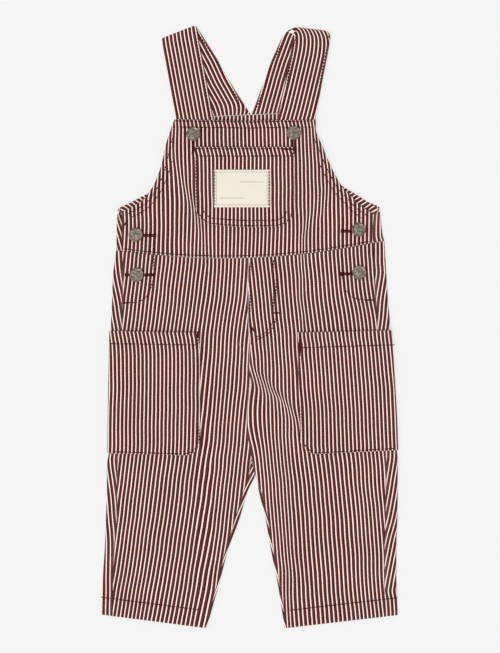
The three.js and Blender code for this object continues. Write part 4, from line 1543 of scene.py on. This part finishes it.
def set_stops(ramp, stops):
    while len(ramp.elements) > 1:
        ramp.elements.remove(ramp.elements[-1])
    ramp.elements[0].position = stops[0][0]
    ramp.elements[0].color = linear(stops[0][1])
    for position, colour in stops[1:]:
        ramp.elements.new(position).color = linear(colour)


def new_material(name, look):
    """A material from a function that gives the inputs of its shader."""
    material = bpy.data.materials.new(name)
    material.use_nodes = True
    tree = material.node_tree
    tree.nodes.clear()
    add_node(tree, "OutputMaterial", {"Surface": add_node(tree, "BsdfPrincipled", look(tree))})
    return material


def spread(low, high, start, end):
    """How a value between two others is spread over a new range."""
    return {"From Min": low, "From Max": high, "To Min": start, "To Max": end}


def striped_twill(tree):
    """Cotton twill, woven with warp stripes of maroon brown and pinkish white.

    It is matt, a little fuzzy at a low angle, and its fine diagonal ribs break up the colour.
    The ribs are drawn at twice their real 0.4 mm so that they show.
    """
    cloth = add_node(tree, "UVMap", uv_map="weave")
    x, y, _ = add_node(tree, "SeparateXYZ", {"Vector": cloth}).outputs
    slub, patches, fuzz = (
        add_node(tree, "TexNoise", {"Vector": cloth, **noise}, noise_dimensions="2D")
        for noise in TWILL_NOISES
    )
    wander = add_node(tree, "Math", {0: slub, 1: SLUB_WANDER, 2: x}, operation="MULTIPLY_ADD")
    repeats = add_node(tree, "Math", {0: wander, 1: 1 / STRIPE_PITCH}, operation="MULTIPLY")
    phase = add_node(tree, "Math", {0: repeats}, operation="FRACT")
    stripes = add_node(tree, "ValToRGB", {"Fac": phase}, stops=STRIPE_STOPS)
    place = add_node(tree, "Math", {0: y, 1: RIB_SLOPE, 2: x}, operation="MULTIPLY_ADD")
    turns = add_node(tree, "Math", {0: place, 1: 2 * math.pi / TWILL_RIB}, operation="MULTIPLY")
    ribs = add_node(tree, "Math", {0: turns}, operation="SINE")
    shade = add_node(tree, "MapRange", {"Value": ribs, **spread(-1.0, 1.0, 0.9, 1.04)})
    fading = add_node(tree, "MapRange", {"Value": patches, **spread(0.3, 0.7, 0.94, 1.05)})
    strength = add_node(tree, "Math", {0: shade, 1: fading}, operation="MULTIPLY")
    shaded = add_node(tree, "VectorMath", {0: stripes, "Scale": strength}, operation="SCALE")
    worn = add_node(tree, "Attribute", attribute_name="worn").outputs["Fac"]
    wear = add_node(tree, "Math", {0: worn, 1: patches}, operation="MULTIPLY")
    amount = add_node(tree, "Math", {0: wear, 1: EDGE_WEAR}, operation="MULTIPLY")
    colour = add_node(tree, "Mix", {0: amount, 6: shaded, 7: linear(WORN_COLOUR)}, data_type="RGBA")
    relief = add_node(tree, "Math", {0: ribs, 1: RIB_RELIEF, 2: fuzz}, operation="MULTIPLY_ADD")
    bump = {"Height": relief, "Strength": 0.35, "Distance": FINE_RELIEF}
    return {
        "Base Color": colour.outputs[2], "Normal": add_node(tree, "Bump", bump),
        "Roughness": 0.92, "Sheen Weight": 0.06, "Sheen Roughness": 0.5, "Specular IOR Level": 0.12,
    }


def sewing_thread(tree):
    """Polyester sewing thread, dark burgundy and twisted."""
    where = add_node(tree, "TexCoord").outputs["Object"]
    scale = 2 * math.pi / (TEXTURE_BANDS * THREAD_TWIST * MM)
    bands = {"Vector": where, "Scale": scale, "Distortion": 1.0}
    twist = add_node(tree, "TexWave", bands, bands_direction="DIAGONAL").outputs["Fac"]
    tone = add_node(tree, "ValToRGB", {"Fac": twist}, stops=THREAD_COLOURS)
    return {"Base Color": tone, "Roughness": 0.85, "Specular IOR Level": 0.1}


def antique_brass(tree):
    """Pressed brass, chemically darkened, with the patina rubbed back on the raised places."""
    where = add_node(tree, "TexCoord").outputs["Object"]
    blotches = {"Vector": where, "Scale": 1 / (PATINA_PATCH * MM), "Detail": 6.0, "Roughness": 0.65}
    patina = add_node(tree, "TexNoise", blotches)
    bump = {"Height": patina, "Strength": 0.5, "Distance": FINE_RELIEF}
    return {
        "Base Color": add_node(tree, "ValToRGB", {"Fac": patina}, stops=BRASS_COLOURS),
        "Roughness": add_node(tree, "MapRange", {"Value": patina, **spread(0.3, 0.7, 0.62, 0.36)}),
        "Normal": add_node(tree, "Bump", bump),
        "Metallic": 0.85,
    }


def label_cotton(tree):
    """Plain woven cotton tape, cream, with thin printed rules and no lettering."""
    cloth = add_node(tree, "UVMap", uv_map="weave")
    x, y, _ = add_node(tree, "SeparateXYZ", {"Vector": cloth}).outputs
    threads = []
    for axis in (x, y):
        turns = {0: axis, 1: 2 * math.pi / LABEL_THREAD}
        turns = add_node(tree, "Math", turns, operation="MULTIPLY")
        threads.append(add_node(tree, "Math", {0: turns}, operation="SINE"))
    weave = add_node(tree, "Math", dict(enumerate(threads)), operation="MULTIPLY")
    tone = add_node(tree, "MapRange", {"Value": weave, **spread(-1.0, 1.0, 0.0, 1.0)})
    tape = add_node(tree, "ValToRGB", {"Fac": tone}, stops=LABEL_COLOURS)
    printed = 0.0
    for middle_x, half_width, middle_y, half_height in LABEL_RULES:
        in_x = add_node(tree, "Math", {0: x, 1: middle_x, 2: half_width}, operation="COMPARE")
        in_y = add_node(tree, "Math", {0: y, 1: middle_y, 2: half_height}, operation="COMPARE")
        rule = add_node(tree, "Math", {0: in_x, 1: in_y}, operation="MULTIPLY")
        printed = add_node(tree, "Math", {0: printed, 1: rule}, operation="MAXIMUM")
    colour = add_node(tree, "Mix", {0: printed, 6: tape, 7: linear(RULE_COLOUR)}, data_type="RGBA")
    bump = {"Height": weave, "Strength": 0.3, "Distance": FINE_RELIEF}
    return {
        "Base Color": colour.outputs[2], "Normal": add_node(tree, "Bump", bump),
        "Roughness": 0.85, "Sheen Weight": 0.05,
    }


def opal_floor(tree):
    """A sheet of opal acrylic, lit evenly from below so that hardly any shadow shows on it."""
    return {
        "Base Color": linear(FLOOR_COLOUR), "Roughness": 1.0, "Specular IOR Level": 0.0,
        "Emission Color": linear(WHITE), "Emission Strength": FLOOR_GLOW,
    }


# Floor, light and camera


def camera_and_light():
    scene = bpy.context.scene
    target = to_frame([*PICTURE_CENTRE, 0.0])
    lens = bpy.data.cameras.new("camera")
    lens.lens, lens.sensor_width = LENS, SENSOR
    scene.camera = new_object("camera", lens)
    scene.camera.location = (target[0], target[1], PICTURE_HEIGHT * MM * LENS / SENSOR)
    lamp = bpy.data.lights.new("window", "SUN")
    lamp.energy, lamp.angle = SUN_STRENGTH, math.radians(SUN_ANGLE)
    new_object("window", lamp).rotation_euler = [math.radians(turn) for turn in SUN_TURN]
    scene.world = bpy.data.worlds.new("room")
    scene.world.use_nodes = True
    background = scene.world.node_tree.nodes["Background"]
    background.inputs["Color"].default_value = linear(WHITE)
    background.inputs["Strength"].default_value = ROOM_STRENGTH
    scene.view_settings.view_transform = "Standard"


def floor():
    half = FLOOR_SIZE / 2
    corners = [(-half, -half), (half, -half), (half, half), (-half, half)]
    points = np.array([(x, y, -FLOOR_DROP) for x, y in corners])
    new_piece("floor", points, [(0, 1, 2, 3)], FLOOR_MATERIAL)


TWILL_MATERIAL = new_material("woven_striped_cotton_twill", striped_twill)
THREAD_MATERIAL = new_material("twisted_burgundy_sewing_thread", sewing_thread)
BRASS_MATERIAL = new_material("pressed_antique_brass", antique_brass)
LABEL_MATERIAL = new_material("plain_woven_cream_cotton", label_cotton)
FLOOR_MATERIAL = new_material("cast_opal_acrylic", opal_floor)

camera_and_light()
floor()
front_bib()
back_bib()
bib_pocket()
for side_name in OUTWARD:
    for build in (front_leg, back_leg, side_pocket, button_stand, strap, back_facing):
        build(side_name)
label()
topstitching()
buttonholes_and_bartacks()
for number, button_node in enumerate(BUTTONS):
    tack_button(button_node, BUTTON_TURN * number)
